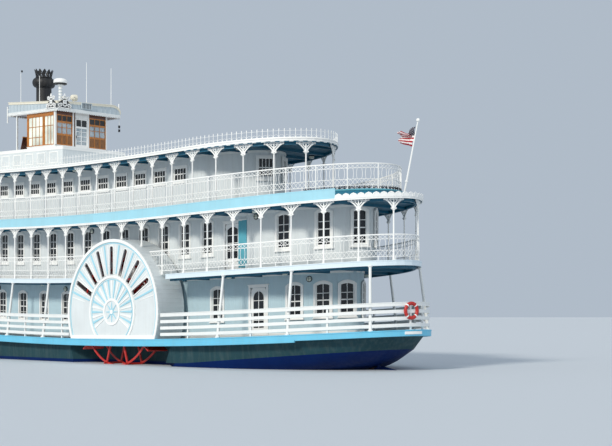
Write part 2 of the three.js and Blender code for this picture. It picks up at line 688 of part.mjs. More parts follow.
// Paddle wheels: two spoked frames on one shaft, with a float across them at each spoke's end
const SPOKE = { wide: 110, thick: 60, short: 60 }; // short of the floats' outer edge
const FLOAT = { thick: 60, deep: 520 };
const RING = { inset: 480, deep: 90, half: 20, sides: 20 };
const HUB = { radius: 330, half: 60, inset: 150 };

function spoke(angle, y) {
  const length = WHEEL_RADIUS - SPOKE.short;
  const geometry = new THREE.BoxGeometry(SPOKE.wide, SPOKE.thick, length);
  return solidOf(geometry.translate(0, y, length / 2).rotateY(angle));
}

function float(angle) {
  const geometry = new THREE.BoxGeometry(FLOAT.thick, WHEEL_OUT - WHEEL_IN, FLOAT.deep);
  geometry.translate(0, (WHEEL_OUT + WHEEL_IN) / 2, WHEEL_RADIUS - FLOAT.deep / 2);
  return solidOf(geometry.rotateY(angle));
}

function wheelRing(y) {
  const radius = WHEEL_RADIUS - RING.inset;
  const disc = (half, size) => rod([0, y - half, 0], [0, y + half, 0], size, RING.sides);
  return disc(RING.half, radius).subtract(disc(RING.half + PAST, radius - RING.deep));
}

function buildWheels() {
  const angles = row(0, (2 * Math.PI) / WHEEL_FLOATS, WHEEL_FLOATS);
  const shaft = rod([0, BOX_IN - SHAFT_PAST, 0], [0, WHEEL_OUT, 0], SHAFT_RADIUS, 16);
  const pieces = [shaft, ...angles.map(float)];
  for (const y of [WHEEL_IN + HUB.inset, WHEEL_OUT - HUB.inset]) {
    pieces.push(rod([0, y - HUB.half, 0], [0, y + HUB.half, 0], HUB.radius, 10), wheelRing(y));
    pieces.push(...angles.map((angle) => spoke(angle, y)));
  }
  const wheel = join(pieces).translate([x(WHEEL_AT), 0, WHEEL_Z]);
  upright('port_paddle_wheel', 'red', wheel);
  upright('starboard_paddle_wheel', 'red', wheel.mirror([0, 1, 0]));
}

const BEARING = { half: 260, inside: 2720, off: 15, rise: 230, sides: 24 };

function buildBearings() {
  const { half, inside, rise, sides } = BEARING;
  const centre = WHEEL_Z + sheerFall(x(WHEEL_AT));
  const outside = BOX_IN - BEARING.off;
  const block = box(x(WHEEL_AT) - half, x(WHEEL_AT) + half, inside, outside, GUARD_TOP + GAP, centre + rise);
  const radius = (SHAFT_RADIUS + PIN_CLEAR) / Math.cos(Math.PI / sides);
  const middle = x(WHEEL_AT);
  const bore = rod([middle, inside - PAST, centre], [middle, outside + PAST, centre], radius, sides);
  mirrored('port_shaft_bearing', 'starboard_shaft_bearing', 'iron', block.subtract(bore));
}

// The rudder's outline runs round the blade, which the stock carries at the s of its middle
const RUDDER_OUTLINE = [
  { s: 1180, z: -1240 },
  { s: 2640, z: -1240 },
  { s: 2640, z: 50 },
  { s: 2230, z: 140 },
  { s: 1180, z: -60 },
];

function buildRudder() {
  const { stock: axis, half, radius, head } = RUDDER;
  const blade = plate(RUDDER_OUTLINE.map(({ s, z }) => new THREE.Vector2(x(s), z)), -half, half);
  const stock = rod([x(axis), 0, KEEL.shoe + GAP], [x(axis), 0, head], radius, TRUNK_SIDES);
  upright('rudder', 'navy', join([blade, stock]));
}

// What stands on the main deck
const ENGINE = { half: 1500, side: 1300, high: 1500 };
const CAPSTAN = { s: 34500, profile: [
  { r: 0, z: 0 },
  { r: 360, z: 0 },
  { r: 360, z: 90 },
  { r: 220, z: 180 },
  { r: 200, z: 620 },
  { r: 300, z: 760 },
  { r: 300, z: 860 },
  { r: 0, z: 860 },
] };
const BITTS = {
  s: 36200,
  y: 300,
  radius: 110,
  high: 700,
  barHalf: 480,
  barLow: 380,
  barHigh: 480,
  barThick: 70,
};

function buildDeckGear() {
  const floor = GUARD_TOP + GAP;
  const { half, side, high } = ENGINE;
  onDeck('engine', 'iron', box(x(WHEEL_AT - half), x(WHEEL_AT + half), -side, side, floor, floor + high));
  const profile = CAPSTAN.profile.map(({ r, z }) => [r, z + floor]);
  onDeck('capstan', 'iron', turned(profile, x(CAPSTAN.s), 0, 12));
  const { s, y, radius, barHalf, barLow, barHigh, barThick } = BITTS;
  const bitts = [-y, y].map((at) => rod([x(s), at, floor], [x(s), at, floor + BITTS.high], radius, 10));
  const bar = box(x(s) - barThick, x(s) + barThick, -barHalf, barHalf, floor + barLow, floor + barHigh);
  onDeck('bow_bitts', 'iron', join([...bitts, bar]));
}

// The raked flagstaff, the flag that hangs from it, and the life ring on the stern rail
// short is how much closer to its axis the faceted staff lies than a round one
const STAFF = { footS: 1100, topS: 380, topZ: 9990, footRadius: 45, topRadius: 25, ball: 75, short: 0.7 };
const FLAG = { hoistTop: 9750, hoistFoot: 8980, half: 6 };
const FLAG_FLY = [
  { s: 1310, z: 9200 },
  { s: 1370, z: 9690 },
];
const LIFE_RING = { along: 0.4, tube: 72, radius: 290, z: 2420 };

// Where the forward corner of the staff is at a height
function staffFront(height) {
  const { footS, topS, topZ, footRadius, topRadius, short } = STAFF;
  const up = (height - ROOF2_TOP) / (topZ - ROOF2_TOP);
  const radius = footRadius + (topRadius - footRadius) * up;
  const lean = Math.hypot(1, (topS - footS) / (topZ - ROOF2_TOP));
  return x(footS + (topS - footS) * up) + radius * lean - short;
}

function buildFlag() {
  const { footS, topS, topZ, footRadius, topRadius, ball } = STAFF;
  const top = [x(topS), 0, topZ];
  const staff = rod([x(footS), 0, ROOF2_TOP], top, footRadius, 8, topRadius);
  const knob = solidOf(new THREE.IcosahedronGeometry(ball, 1)).translate(top);
  const room = box(x(0), x(LENGTH), -FAR, FAR, ROOF2_TOP + GAP, HIGH);
  onDeck('flagstaff', 'white', join([staff, knob]).intersect(room));
  const cloth = [
    [staffFront(FLAG.hoistTop) + GAP, FLAG.hoistTop],
    [staffFront(FLAG.hoistFoot) + GAP, FLAG.hoistFoot],
    ...FLAG_FLY.map(({ s, z }) => [x(s), z]),
  ].map(([px, z]) => new THREE.Vector2(px, z));
  onDeck('flag', 'flag', plate(cloth, -FLAG.half, FLAG.half));
}

function buildLifeRing() {
  const [[s0, y0], [s1, y1]] = halfPlan(GUARD, MAIN_RAIL.inset);
  const lean = Math.atan2(s1 - s0, y1 - y0);
  const { along, tube, radius, z } = LIFE_RING;
  const ring = new THREE.TorusGeometry(radius, tube, 8, 16).rotateY(Math.PI / 2).rotateZ(-lean);
  const off = tube + GAP;
  const place = [
    x(s0 + along * (s1 - s0)) - off * Math.cos(lean),
    y0 + along * (y1 - y0) + off * Math.sin(lean),
    z,
  ];
  onDeck('life_ring', 'red', solidOf(ring).translate(place));
}

// Texas and pilothouse. Panes are cut between sill and head; first is from the aft wall to a pane's middle.
const TEXAS = { aft: 21500, fore: 27300, half: 2000 };
const PILOT = { aft: 22600, fore: 25100, half: 1620, thick: 70, sill: 11300, head: 12850 };
const SIDE_PANES = { first: 455, pitch: 800, width: 690 };
const FRONT_PANES = { y: 1100, width: 920 };
const AFT_PANES = { y: 1130, width: 740 };
const PILOT_DOOR = { half: 380, head: 12740 };
const PILOT_ROOF = {
  aft: 22311,
  fore: 26743,
  port: 1735,
  starboard: 2350,
  parapet: 300,
  parapetStarboard: 1900,
  rim: 50,
};
const PORCH = {
  postAft: 26030,
  postFore: 26110,
  postIn: 1540,
  screenAft: 25700,
  screenFore: 25760,
  high: 750,
  sill: 60,
};
const STEERING = {
  s: 24650,
  high: 900,
  radius: 560,
  tube: 35,
  reach: 700,
  spoke: 40,
  stand: 90,
  base: 160,
};

function pilotWall(x0, x1, y0, y1, holes) {
  return cut(box(x0, x1, y0, y1, TEXAS_TOP + GAP, PILOT_ROOF_BOTTOM - GAP), holes);
}

function buildPilotWalls() {
  const { aft, fore, half, thick, sill, head } = PILOT;
  const sidePanes = row(aft + SIDE_PANES.first, SIDE_PANES.pitch, 3).map((s) =>
    box(x(s - SIDE_PANES.width / 2), x(s + SIDE_PANES.width / 2), 0, FAR, sill, head));
  const side = pilotWall(x(aft), x(fore), half - thick, half, sidePanes);
  mirrored('pilothouse_port_wall', 'pilothouse_starboard_wall', 'wood', side);
  const inner = half - thick - GAP;
  const through = 3 * thick;
  const pane = (s, y, width) =>
    box(x(s) - through, x(s) + through, y - width / 2, y + width / 2, sill, head);
  const aftPanes = [-AFT_PANES.y, AFT_PANES.y].map((y) => pane(aft, y, AFT_PANES.width));
  const doorway = PILOT_DOOR.half + CLEAR;
  const doorTop = PILOT_DOOR.head + CLEAR;
  const doorCut = box(x(aft) - through, x(aft) + through, -doorway, doorway, TEXAS_TOP, doorTop);
  const aftWall = pilotWall(x(aft), x(aft) + thick, -inner, inner, [...aftPanes, doorCut]);
  onDeck('pilothouse_aft_wall', 'wood', aftWall);
  const forePanes = [-FRONT_PANES.y, 0, FRONT_PANES.y].map((y) => pane(fore, y, FRONT_PANES.width));
  onDeck('pilothouse_front_wall', 'wood', pilotWall(x(fore) - thick, x(fore), -inner, inner, forePanes));
}

function buildPilothouse() {
  const { half: texasHalf } = TEXAS;
  const floor = ROOF3_TOP + GAP;
  onDeck('texas', 'white', box(x(TEXAS.aft), x(TEXAS.fore), -texasHalf, texasHalf, floor, TEXAS_TOP));
  buildPilotWalls();
  const low = TEXAS_TOP + DOOR_LIFT;
  const { half, head } = PILOT_DOOR;
  const leaf = box(x(PILOT.aft), x(PILOT.aft) + DOOR_THICK, -half, half, low, head);
  onDeck('pilothouse_door', 'white', leaf.add(hinge([x(PILOT.aft), half], low, head)));
  const { aft, fore, port, starboard, parapet, parapetStarboard: end, rim } = PILOT_ROOF;
  const roof = box(x(aft), x(fore), -starboard, port, PILOT_ROOF_BOTTOM, PILOT_ROOF_TOP);
  const upstand = box(x(aft), x(fore), -end, port, PILOT_ROOF_BOTTOM, PILOT_ROOF_TOP + parapet);
  const wellTop = PILOT_ROOF_TOP + 2 * parapet;
  const well = box(x(aft) + rim, x(fore) - rim, rim - end, port - rim, PILOT_ROOF_TOP, wellTop);
  onDeck('pilothouse_roof', 'white', roof.add(upstand.subtract(well)));
}

function buildPorch() {
  const { postAft, postFore, postIn, screenAft, screenFore, high, sill } = PORCH;
  const out = PILOT.half;
  const floor = TEXAS_TOP + GAP;
  const post = box(x(postAft), x(postFore), postIn, out, floor, PILOT_ROOF_BOTTOM - GAP);
  const screen = box(x(screenAft), x(screenFore), -postIn - PAST, postIn + PAST, floor, floor + high);
  const sillBar = box(x(screenAft), x(postFore), -out, out, floor + high - sill, floor + high);
  onDeck('pilothouse_porch', 'wood', join([post, post.mirror([0, 1, 0]), screen, sillBar]));
}

function buildSteeringWheel() {
  const { s, high, radius, tube, reach, stand, base } = STEERING;
  const middle = [x(s), 0, TEXAS_TOP + high];
  const rim = solidOf(new THREE.TorusGeometry(radius, tube, 5, 12).rotateY(Math.PI / 2)).translate(middle);
  const handles = row(0, Math.PI / 4, 4).map((angle) => {
    const handle = new THREE.BoxGeometry(STEERING.spoke, 2 * reach, STEERING.spoke);
    return solidOf(handle.rotateX(angle)).translate(middle);
  });
  const post = box(x(s) - stand, x(s) + base, -stand, stand, TEXAS_TOP + GAP, middle[2] + tube);
  onDeck('steering_wheel', 'wood', join([rim, ...handles, post]));
}

// Chimneys: up the outside from the base to the flared crown, then down the flue. z is above the roof, or
// below the crown where fromTop says so.
const CHIMNEY = { s: 28680, y: 1900, top: 16100, sides: 12 };
const CHIMNEY_PROFILE = [
  { r: 0, z: GAP },
  { r: 575, z: GAP },
  { r: 575, z: 180 },
  { r: 435, z: 260 },
  { r: 435, z: -1040, fromTop: true },
  { r: 560, z: -930, fromTop: true },
  { r: 635, z: -730, fromTop: true },
  { r: 560, z: -540, fromTop: true },
  { r: 435, z: -470, fromTop: true },
  { r: 520, z: 0, fromTop: true },
  { r: 470, z: 0, fromTop: true },
  { r: 375, z: -480, fromTop: true },
  { r: 375, z: -1500, fromTop: true },
  { r: 0, z: -1500, fromTop: true },
];

function buildChimneys() {
  const profile = CHIMNEY_PROFILE.map(({ r, z, fromTop }) => [r, z + (fromTop ? CHIMNEY.top : ROOF3_TOP)]);
  const port = turned(profile, x(CHIMNEY.s), CHIMNEY.y, CHIMNEY.sides);
  mirrored('port_chimney', 'starboard_chimney', 'black', port);
}

// On the pilothouse roof: the radar on its mast and two searchlights on one bracket
const RADAR = { s: 24450, mast: 100, foot: 14700, profile: [
  { r: 0, z: 0 },
  { r: 330, z: 70 },
  { r: 360, z: 190 },
  { r: 250, z: 300 },
  { r: 0, z: 330 },
] };
const LIGHTS = { aft: 23000, fore: 23360, y: 350, radius: 170, z: 420 };
const LIGHT_BAR = { aft: 23120, fore: 23200, half: 600 };

function buildRoofGear() {
  const floor = PILOT_ROOF_TOP + GAP;
  const mast = rod([x(RADAR.s), 0, floor], [x(RADAR.s), 0, RADAR.foot + RADAR.profile[1].z], RADAR.mast);
  const dome = turned(RADAR.profile.map(({ r, z }) => [r, z + RADAR.foot]), x(RADAR.s), 0, 12);
  onDeck('radar', 'white', join([mast, dome]));
  const { aft, fore, y, radius, z } = LIGHTS;
  const lamps = [-y, y].map((at) => rod([x(aft), at, floor + z], [x(fore), at, floor + z], radius, 12));
  const { aft: barAft, fore: barFore, half } = LIGHT_BAR;
  const bar = box(x(barAft), x(barFore), -half, half, floor, floor + z - radius / 2);
  onDeck('searchlights', 'iron', join([...lamps, bar]));
}

buildHull();
buildDecks();
CABINS.forEach(buildCabin);
buildMainRail();
buildSecondColonnade();
buildThirdDeckRails();
buildCrest();
buildPaddleBoxes();
buildWheels();
buildBearings();
buildRudder();
buildDeckGear();
buildFlag();
buildLifeRing();
buildPilothouse();
buildPorch();
buildSteeringWheel();
buildChimneys();
buildRoofGear();

export default group;
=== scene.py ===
"""Looks of a side-wheel paddle steamer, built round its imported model.

Metres, +X forward, +Y to port, +Z up."""
import json
import math

import bmesh
import bpy
import numpy as np
from mathutils import Matrix, Vector


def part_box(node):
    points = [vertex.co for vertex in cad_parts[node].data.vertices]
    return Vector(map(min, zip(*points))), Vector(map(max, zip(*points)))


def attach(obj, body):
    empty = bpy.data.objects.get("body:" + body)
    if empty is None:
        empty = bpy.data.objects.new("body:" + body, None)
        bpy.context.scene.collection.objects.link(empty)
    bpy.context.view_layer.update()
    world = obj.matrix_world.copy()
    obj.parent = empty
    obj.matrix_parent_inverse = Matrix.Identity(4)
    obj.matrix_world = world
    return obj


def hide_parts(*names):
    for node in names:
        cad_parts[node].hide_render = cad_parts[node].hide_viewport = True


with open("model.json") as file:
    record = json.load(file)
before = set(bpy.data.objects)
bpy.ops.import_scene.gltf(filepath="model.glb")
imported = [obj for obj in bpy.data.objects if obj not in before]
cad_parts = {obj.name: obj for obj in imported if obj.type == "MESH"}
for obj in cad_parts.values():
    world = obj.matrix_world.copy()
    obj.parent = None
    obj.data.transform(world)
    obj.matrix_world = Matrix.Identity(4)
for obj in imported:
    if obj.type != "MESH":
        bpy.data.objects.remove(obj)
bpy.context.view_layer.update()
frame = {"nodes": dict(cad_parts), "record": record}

# Lengths along the boat, called s, run forward from the aft end of the main deck's guard:
# x = s - MIDSHIPS. Everything on the decks is drawn flat, at its height at the stern, and lowered by the
# sheer when it is made.
MIDSHIPS = 19.3
SHEER_SLOPE = 0.0655
SHEER_CURVE = 0.00195
SHEER_LIFT = 0.01
FLOOR_Z = 0.0

GUARD_BOTTOM, GUARD_TOP = 1.417, 1.657
SECOND_BOTTOM, SECOND_TOP = 4.283, 4.453
ROOF2_BOTTOM, ROOF2_TOP = 6.935, 7.105
THIRD_TOP = 7.405
ROOF3_BOTTOM, ROOF3_TOP = 9.82, 9.98
TEXAS_TOP = 11.13
PILOT_ROOF_BOTTOM, PILOT_ROOF_TOP = 13.05, 13.15

WHEEL_AT, WHEEL_Z = 14.4, 2.35
BOX_RADIUS, BOX_IN, BOX_OUT = 3.26, 2.94, 4.425
SIDES = ((1, "port"), (-1, "starboard"))


def both(name):
    """The nodes of that name on both sides"""
    return [f"{word}_{name}" for _, word in SIDES]


def circle(sides, shift=0.0):
    """Pairs of cosine and sine once round"""
    return [(math.cos(t), math.sin(t)) for t in (2 * math.pi * (i + shift) / sides for i in range(sides))]


def polar(degrees):
    return math.cos(math.radians(degrees)), math.sin(math.radians(degrees))


def fall(x):
    """How far the sheer lowers a place"""
    s = np.asarray(x) + MIDSHIPS
    return SHEER_SLOPE * s - SHEER_CURVE * s * s - SHEER_LIFT


class Plan:
    """A deck's outline: a round stern, straight sides, and a bow or a flat front."""

    def __init__(self, aft, half, run, fore, bow_run=None, power=0.5):
        self.aft, self.half, self.run, self.fore = aft, half, run, fore
        self.bow_run, self.power = bow_run, power

    def port(self, stern=90, side=60, bow=90):
        """Places down the port side, from counts of points round the stern, on the side and on the bow"""
        turn = np.linspace(0, math.pi / 2, stern)
        s = self.aft + self.run * (1 - np.cos(turn))
        y = self.half * np.sin(turn)
        if self.bow_run is None:
            ahead = np.linspace(s[-1], self.fore, side)[1:]
            return np.column_stack([np.append(s, ahead), np.append(y, np.full(len(ahead), self.half))])
        shoulder = self.fore - self.bow_run
        ahead = np.linspace(s[-1], shoulder, side)[1:-1]
        along = np.sin(np.linspace(0, math.pi / 2, bow))
        bow_y = self.half * np.clip(1 - along**2, 0, 1) ** self.power
        return np.column_stack([
            np.concatenate([s, ahead, shoulder + self.bow_run * along]),
            np.concatenate([y, np.full(len(ahead), self.half), bow_y]),
        ])


GUARD = Plan(0.26, 4.434, 10.16, 38.55, 10.0, 0.9)
SECOND = Plan(0.686, 4.034, 10.16, 34.2, 4.4)
ROOF2 = Plan(0.609, 4.034, 10.16, 33.4, 4.2)
THIRD = Plan(1.7, 4.0, 9.069, 33.3, 4.15)
ROOF3 = Plan(5.386, 3.176, 5.417, 30.6, 3.3)
MAIN_CABIN = Plan(3.54, 2.7, 8.7, 31.0)
SECOND_CABIN = Plan(2.85, 2.75, 9.0, 29.6)
THIRD_CABIN = Plan(8.24, 2.1, 4.5, 28.6)


class Path:
    """The edge of a plan, moved in by inset. Distances run from the stern's middle, positive to port."""

    def __init__(self, plan, inset=0.0):
        line = plan.port()
        tangent = np.gradient(line, axis=0)
        tangent[0] = (0, 1)
        tangent /= np.linalg.norm(tangent, axis=1)[:, None]
        normal = np.column_stack([-tangent[:, 1], tangent[:, 0]])
        if plan.bow_run is not None and plan.power <= 0.5:
            normal[-1] = (1, 0)
        line = line - normal * inset
        keep = line[:, 1] >= -1e-9
        keep[1:-1] &= line[1:-1, 1] > 1e-4
        line, normal = line[keep], normal[keep]
        self.line, self.normal = line, normal
        self.arc = np.concatenate([[0], np.cumsum(np.linalg.norm(np.diff(line, axis=0), axis=1))])
        self.length = self.arc[-1]

    def at(self, distance):
        """x, y and the outward normal at a distance round the edge"""
        side = -1.0 if distance < 0 else 1.0
        d = min(abs(distance), self.length)
        s, y = (np.interp(d, self.arc, self.line[:, k]) for k in (0, 1))
        n = np.array([np.interp(d, self.arc, self.normal[:, k]) for k in (0, 1)])
        n /= np.linalg.norm(n)
        return s - MIDSHIPS, side * y, n[0], side * n[1]

    def near(self, s):
        """The distance round the port side at which the edge reaches s"""
        return float(np.interp(s, self.line[:, 0], self.arc))

    def frame(self, distance):
        """Origin, direction along the edge towards the bow, and outward normal, at a distance round it"""
        x, y, nx, ny = self.at(distance)
        side = -1.0 if distance < 0 else 1.0
        return np.array([x, y]), np.array([ny, -nx]) * side, np.array([nx, ny])
    def spot(self, distance):
        """The upright plane of the edge there, drawn as (across, up, out)"""
        return plane(*self.frame(distance))


class Shape:
    """Corners and faces of one piece. Faces have a material number each."""

    def __init__(self):
        self.corners, self.faces, self.marks = [], [], []

    def add(self, corners, faces, mark=0):
        start = len(self.corners)
        self.corners.extend(tuple(map(float, c)) for c in corners)
        self.faces.extend(tuple(start + i for i in face) for face in faces)
        self.marks.extend([mark] * len(faces))

    def box(self, low, high, mark=0):
        (x0, y0, z0), (x1, y1, z1) = low, high
        self.loft([[(x0, y0, z0), (x1, y0, z0), (x1, y1, z0), (x0, y1, z0)],
                   [(x0, y0, z1), (x1, y0, z1), (x1, y1, z1), (x0, y1, z1)]], mark)

    def loft(self, rings, mark=0, closed=False, caps=True):
        """Joins rings of equal counts. Faces look out when each ring turns left about its path."""
        count = len(rings[0])
        corners = [c for ring in rings for c in ring]
        faces = []
        pairs = len(rings) if closed else len(rings) - 1
        for r in range(pairs):
            a, b = r * count, ((r + 1) % len(rings)) * count
            for i in range(count):
                j = (i + 1) % count
                faces.append((a + i, a + j, b + j, b + i))
        if caps and not closed:
            faces.append(tuple(reversed(range(count))))
            faces.append(tuple((len(rings) - 1) * count + i for i in range(count)))
        self.add(corners, faces, mark)

    def rod(self, a, b, radius, sides=8, end_radius=None, mark=0):
        a, b = Vector(a), Vector(b)
        end_radius = radius if end_radius is None else end_radius
        along = (b - a).normalized()
        across = along.orthogonal().normalized()
        other = along.cross(across)
        self.loft([[middle + (across * c + other * s) * r for c, s in circle(sides, 0.5)]
                   for middle, r in ((a, radius), (b, end_radius))], mark)

    def turned(self, profile, cx, cy, sides=12, mark=0, foot=0.0):
        """Turned about an upright axis from (radius, height over foot) pairs, which run upward"""
        self.loft([[(cx + r * c, cy + r * s, foot + z) for c, s in circle(sides, 0.5)]
                   for r, z in profile], mark)

    def tube(self, points, radius, sides=6, mark=0):
        """A round bar along a line of points"""
        points = [Vector(p) for p in points]
        rings = []
        across = None
        for before, p, after in zip(points[:1] + points, points, points[1:] + points[-1:]):
            along = (after - before).normalized()
            across = along.orthogonal() if across is None else across - along * across.dot(along)
            across.normalize()
            other = along.cross(across)
            rings.append([p + (across * c + other * s) * radius for c, s in circle(sides, 0.5)])
        self.loft(rings, mark)

    def plate(self, outline, place, thick, mark=0):
        """A flat plate from an outline of (across, up), thick to both sides of its plane"""
        front = [place(u, v, thick / 2) for u, v in outline]
        back = [place(u, v, -thick / 2) for u, v in outline]
        self.loft([back, front], mark)

    def ring_plate(self, outer, inner, place, thick, mark=0):
        """A flat ring between two outlines of equal counts"""
        count = len(outer)
        sections = [[place(*inner[i], -thick / 2), place(*outer[i], -thick / 2),
                     place(*outer[i], thick / 2), place(*inner[i], thick / 2)] for i in range(count)]
        self.loft(sections, mark, closed=True)


def band(shape, path, profile, start=None, end=None, step=0.4, mark=0):
    """Sweeps a closed profile of (outward, up) along a path, between two distances or all round it"""
    if start is None:
        start, end = -path.length, path.length
    count = max(2, int(math.ceil(abs(end - start) / step)) + 1)
    rings = []
    for distance in np.linspace(start, end, count):
        x, y, nx, ny = path.at(distance)
        rings.append([(x + nx * u, y + ny * u, z) for u, z in profile])
    shape.loft(rings, mark)


def rect(out0, out1, z0, z1):
    """A profile for band(), wound for outward faces"""
    return [(out0, z0), (out0, z1), (out1, z1), (out1, z0)]


def boards_round(shape, path, rows, runs=((None, None),)):
    """Square boards along the runs of a path, from rows of out, out, low, high and mark"""
    for start, end in runs:
        for out0, out1, low, high, mark in rows:
            band(shape, path, rect(out0, out1, low, high), start, end, mark=mark)


def slab(shape, path, z0, z1, side=0, top=0, under=0, narrow=None):
    """A deck within a path. narrow is (s0, s1, y): between s0 and s1 it reaches only to y."""
    count = int(path.length / 0.4) + 1
    places = [path.at(d)[:2] for d in np.linspace(0, path.length, count)]
    if narrow:
        s0, s1, reach = narrow
        x0, x1 = s0 - MIDSHIPS, s1 - MIDSHIPS
        inner = [(x, min(y, reach)) for x, y in places if x0 < x < x1]
        edge = path.at(path.near(s0))[1], path.at(path.near(s1))[1]
        places = ([p for p in places if p[0] <= x0] + [(x0, edge[0]), (x0, reach)] + inner
                  + [(x1, reach), (x1, edge[1])] + [p for p in places if p[0] >= x1])
    start = len(shape.corners)
    for x, y in places:
        shape.corners.extend([(x, y, z0), (x, -y, z0), (x, -y, z1), (x, y, z1)])
    for i in range(len(places) - 1):
        a, b = start + 4 * i, start + 4 * (i + 1)
        for face, mark in (((a, a + 1, b + 1, b), under), ((a + 3, b + 3, b + 2, a + 2), top),
                           ((a, b, b + 3, a + 3), side), ((a + 1, a + 2, b + 2, b + 1), side)):
            shape.faces.append(face)
            shape.marks.append(mark)


def make(name, shape, materials, slot="white_paint", replaces=(), body="boat", sheer=True, smooth=0,
         bevel=0.0):
    """Makes the piece. smooth is the angle in degrees under which edges are shaded smooth."""
    corners = np.array(shape.corners, dtype=float)
    if sheer:
        corners[:, 2] -= fall(corners[:, 0])
    mesh = bpy.data.meshes.new(name)
    mesh.from_pydata(corners.tolist(), [], shape.faces)
    for material in materials:
        mesh.materials.append(material)
    mesh.polygons.foreach_set("material_index", shape.marks)
    mesh.validate()
    piece = bpy.data.objects.new(name, mesh)
    bpy.context.scene.collection.objects.link(piece)
    tidy(mesh, smooth)
    if bevel:
        edge = piece.modifiers.new("edge", "BEVEL")
        edge.width, edge.segments, edge.limit_method = bevel, 1, "ANGLE"
        edge.angle_limit = math.radians(40)
    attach(piece, body)
    if replaces:
        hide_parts(*replaces)
    return piece


def tidy(mesh, smooth):
    """Drops doubled corners and makes faces look outward"""
    cage = bmesh.new()
    cage.from_mesh(mesh)
    bmesh.ops.remove_doubles(cage, verts=cage.verts, dist=2e-5)
    bmesh.ops.recalc_face_normals(cage, faces=cage.faces)
    if smooth:
        limit = math.radians(smooth)
        for face in cage.faces:
            face.smooth = True
        for edge in cage.edges:
            edge.smooth = not (len(edge.link_faces) == 2 and edge.calc_face_angle(0) > limit)
    cage.to_mesh(mesh)
    cage.free()


# Materials. Colours are given as on a screen, in 0 to 255.
def nodes_of(name):
    material = bpy.data.materials.new(name)
    material.use_nodes = True
    tree = material.node_tree
    return material, tree, next(n for n in tree.nodes if n.type == "BSDF_PRINCIPLED")


def put(tree, node, **values):
    """Sets a node's inputs: a socket is linked, anything else is a value. Underlines stand for spaces."""
    for name, value in values.items():
        socket = node.inputs[name.replace("_", " ")]
        if isinstance(value, bpy.types.NodeSocket):
            tree.links.new(value, socket)
        else:
            socket.default_value = value


def noise_at(tree, scale, stretch=(1, 1, 1), detail=4.0, offset=(0, 0, 0)):
    place, mapping, noise = (tree.nodes.new(f"ShaderNode{kind}")
                             for kind in ("TexCoord", "Mapping", "TexNoise"))
    put(tree, mapping, Vector=place.outputs["Object"], Scale=stretch, Location=offset)
    put(tree, noise, Vector=mapping.outputs["Vector"], Scale=scale, Detail=detail)
    return noise.outputs["Fac"]


def ramp(tree, value, *stops):
    """A colour ramp between two stops of (place, colour or grey)"""
    node = tree.nodes.new("ShaderNodeValToRGB")
    for element, (place, colour) in zip(node.color_ramp.elements, stops):
        element.position = place
        element.color = (*colour, 1) if isinstance(colour, tuple) else (colour, colour, colour, 1)
    put(tree, node, Fac=value)
    return node.outputs["Color"]


def blend(tree, kind, fac, a, b):
    mix = tree.nodes.new("ShaderNodeMix")
    mix.data_type, mix.blend_type = "RGBA", kind
    for socket, value in ((mix.inputs[0], fac), (mix.inputs[6], a), (mix.inputs[7], b)):
        if isinstance(value, bpy.types.NodeSocket):
            tree.links.new(value, socket)
        else:
            socket.default_value = value if isinstance(value, (int, float)) else (*value, 1)
    return mix.outputs[2]


def skinned(tree, shader, height, strength, distance, invert=False):
    """Gives the surface a fine relief"""
    skin = tree.nodes.new("ShaderNodeBump")
    skin.invert = invert
    put(tree, skin, Height=height, Strength=strength, Distance=distance)
    put(tree, shader, Normal=skin.outputs["Normal"])


def srgb(r, g, b):
    return tuple(((c / 255 + 0.055) / 1.055) ** 2.4 if c > 10 else c / 255 / 12.92 for c in (r, g, b))


def times(colour, factor):
    return tuple(c * factor for c in colour)


def painted(name, rgb, vary=0.12, streak=0.25, rough=0.45, bump=0.15, dirt=(0.42, 0.38, 0.3), metal=0.0,
            shine=0.5):
    """Brushed or sprayed paint: soft tone changes, faint runs down the surface and a fine skin"""
    material, tree, shader = nodes_of(name)
    colour = srgb(*rgb)
    base = ramp(tree, noise_at(tree, 0.9), (0.3, times(colour, 1 - vary)), (0.7, colour))
    amount = tree.nodes.new("ShaderNodeMath")
    amount.operation = "MULTIPLY"
    amount.inputs[1].default_value = streak
    runs = noise_at(tree, 2.2, (3.0, 3.0, 0.22), offset=(3, 1, 2))
    tree.links.new(ramp(tree, runs, (0.45, 0), (0.8, 1)), amount.inputs[0])
    grime = tuple(c * 0.6 + d * 0.25 for c, d in zip(colour, dirt))
    put(tree, shader, Base_Color=blend(tree, "MIX", amount.outputs[0], base, grime), Metallic=metal,
        Specular_IOR_Level=shine,
        Roughness=ramp(tree, noise_at(tree, 6.0), (0.3, rough - 0.08), (0.7, rough + 0.12)))
    skinned(tree, shader, noise_at(tree, 30.0, detail=6.0), bump, 0.01)
    return material


def planked(name, rgb, pitch, along="x", vary=0.2):
    """Painted planks with tight seams. along is the axis that they run in."""
    material, tree, shader = nodes_of(name)
    colour = srgb(*rgb)
    place, mapping, brick = (tree.nodes.new(f"ShaderNode{kind}")
                             for kind in ("TexCoord", "Mapping", "TexBrick"))
    put(tree, mapping, Vector=place.outputs["Object"],
        Rotation=(0, 0, math.pi / 2 if along == "y" else 0))
    put(tree, brick, Vector=mapping.outputs["Vector"], Scale=1.0, Brick_Width=3.2, Row_Height=pitch,
        Mortar_Size=0.005, Mortar_Smooth=0.2, Color1=(*times(colour, 1 - vary), 1), Color2=(*colour, 1),
        Mortar=(*times(colour, 0.35), 1))
    cloud = ramp(tree, noise_at(tree, 1.3), (0.3, 0.75), (0.7, 1))
    put(tree, shader, Base_Color=blend(tree, "MULTIPLY", 1.0, brick.outputs["Color"], cloud),
        Roughness=ramp(tree, noise_at(tree, 9.0), (0.3, 0.5), (0.7, 0.72)))
    skinned(tree, shader, brick.outputs["Fac"], 0.35, 0.01, True)
    return material


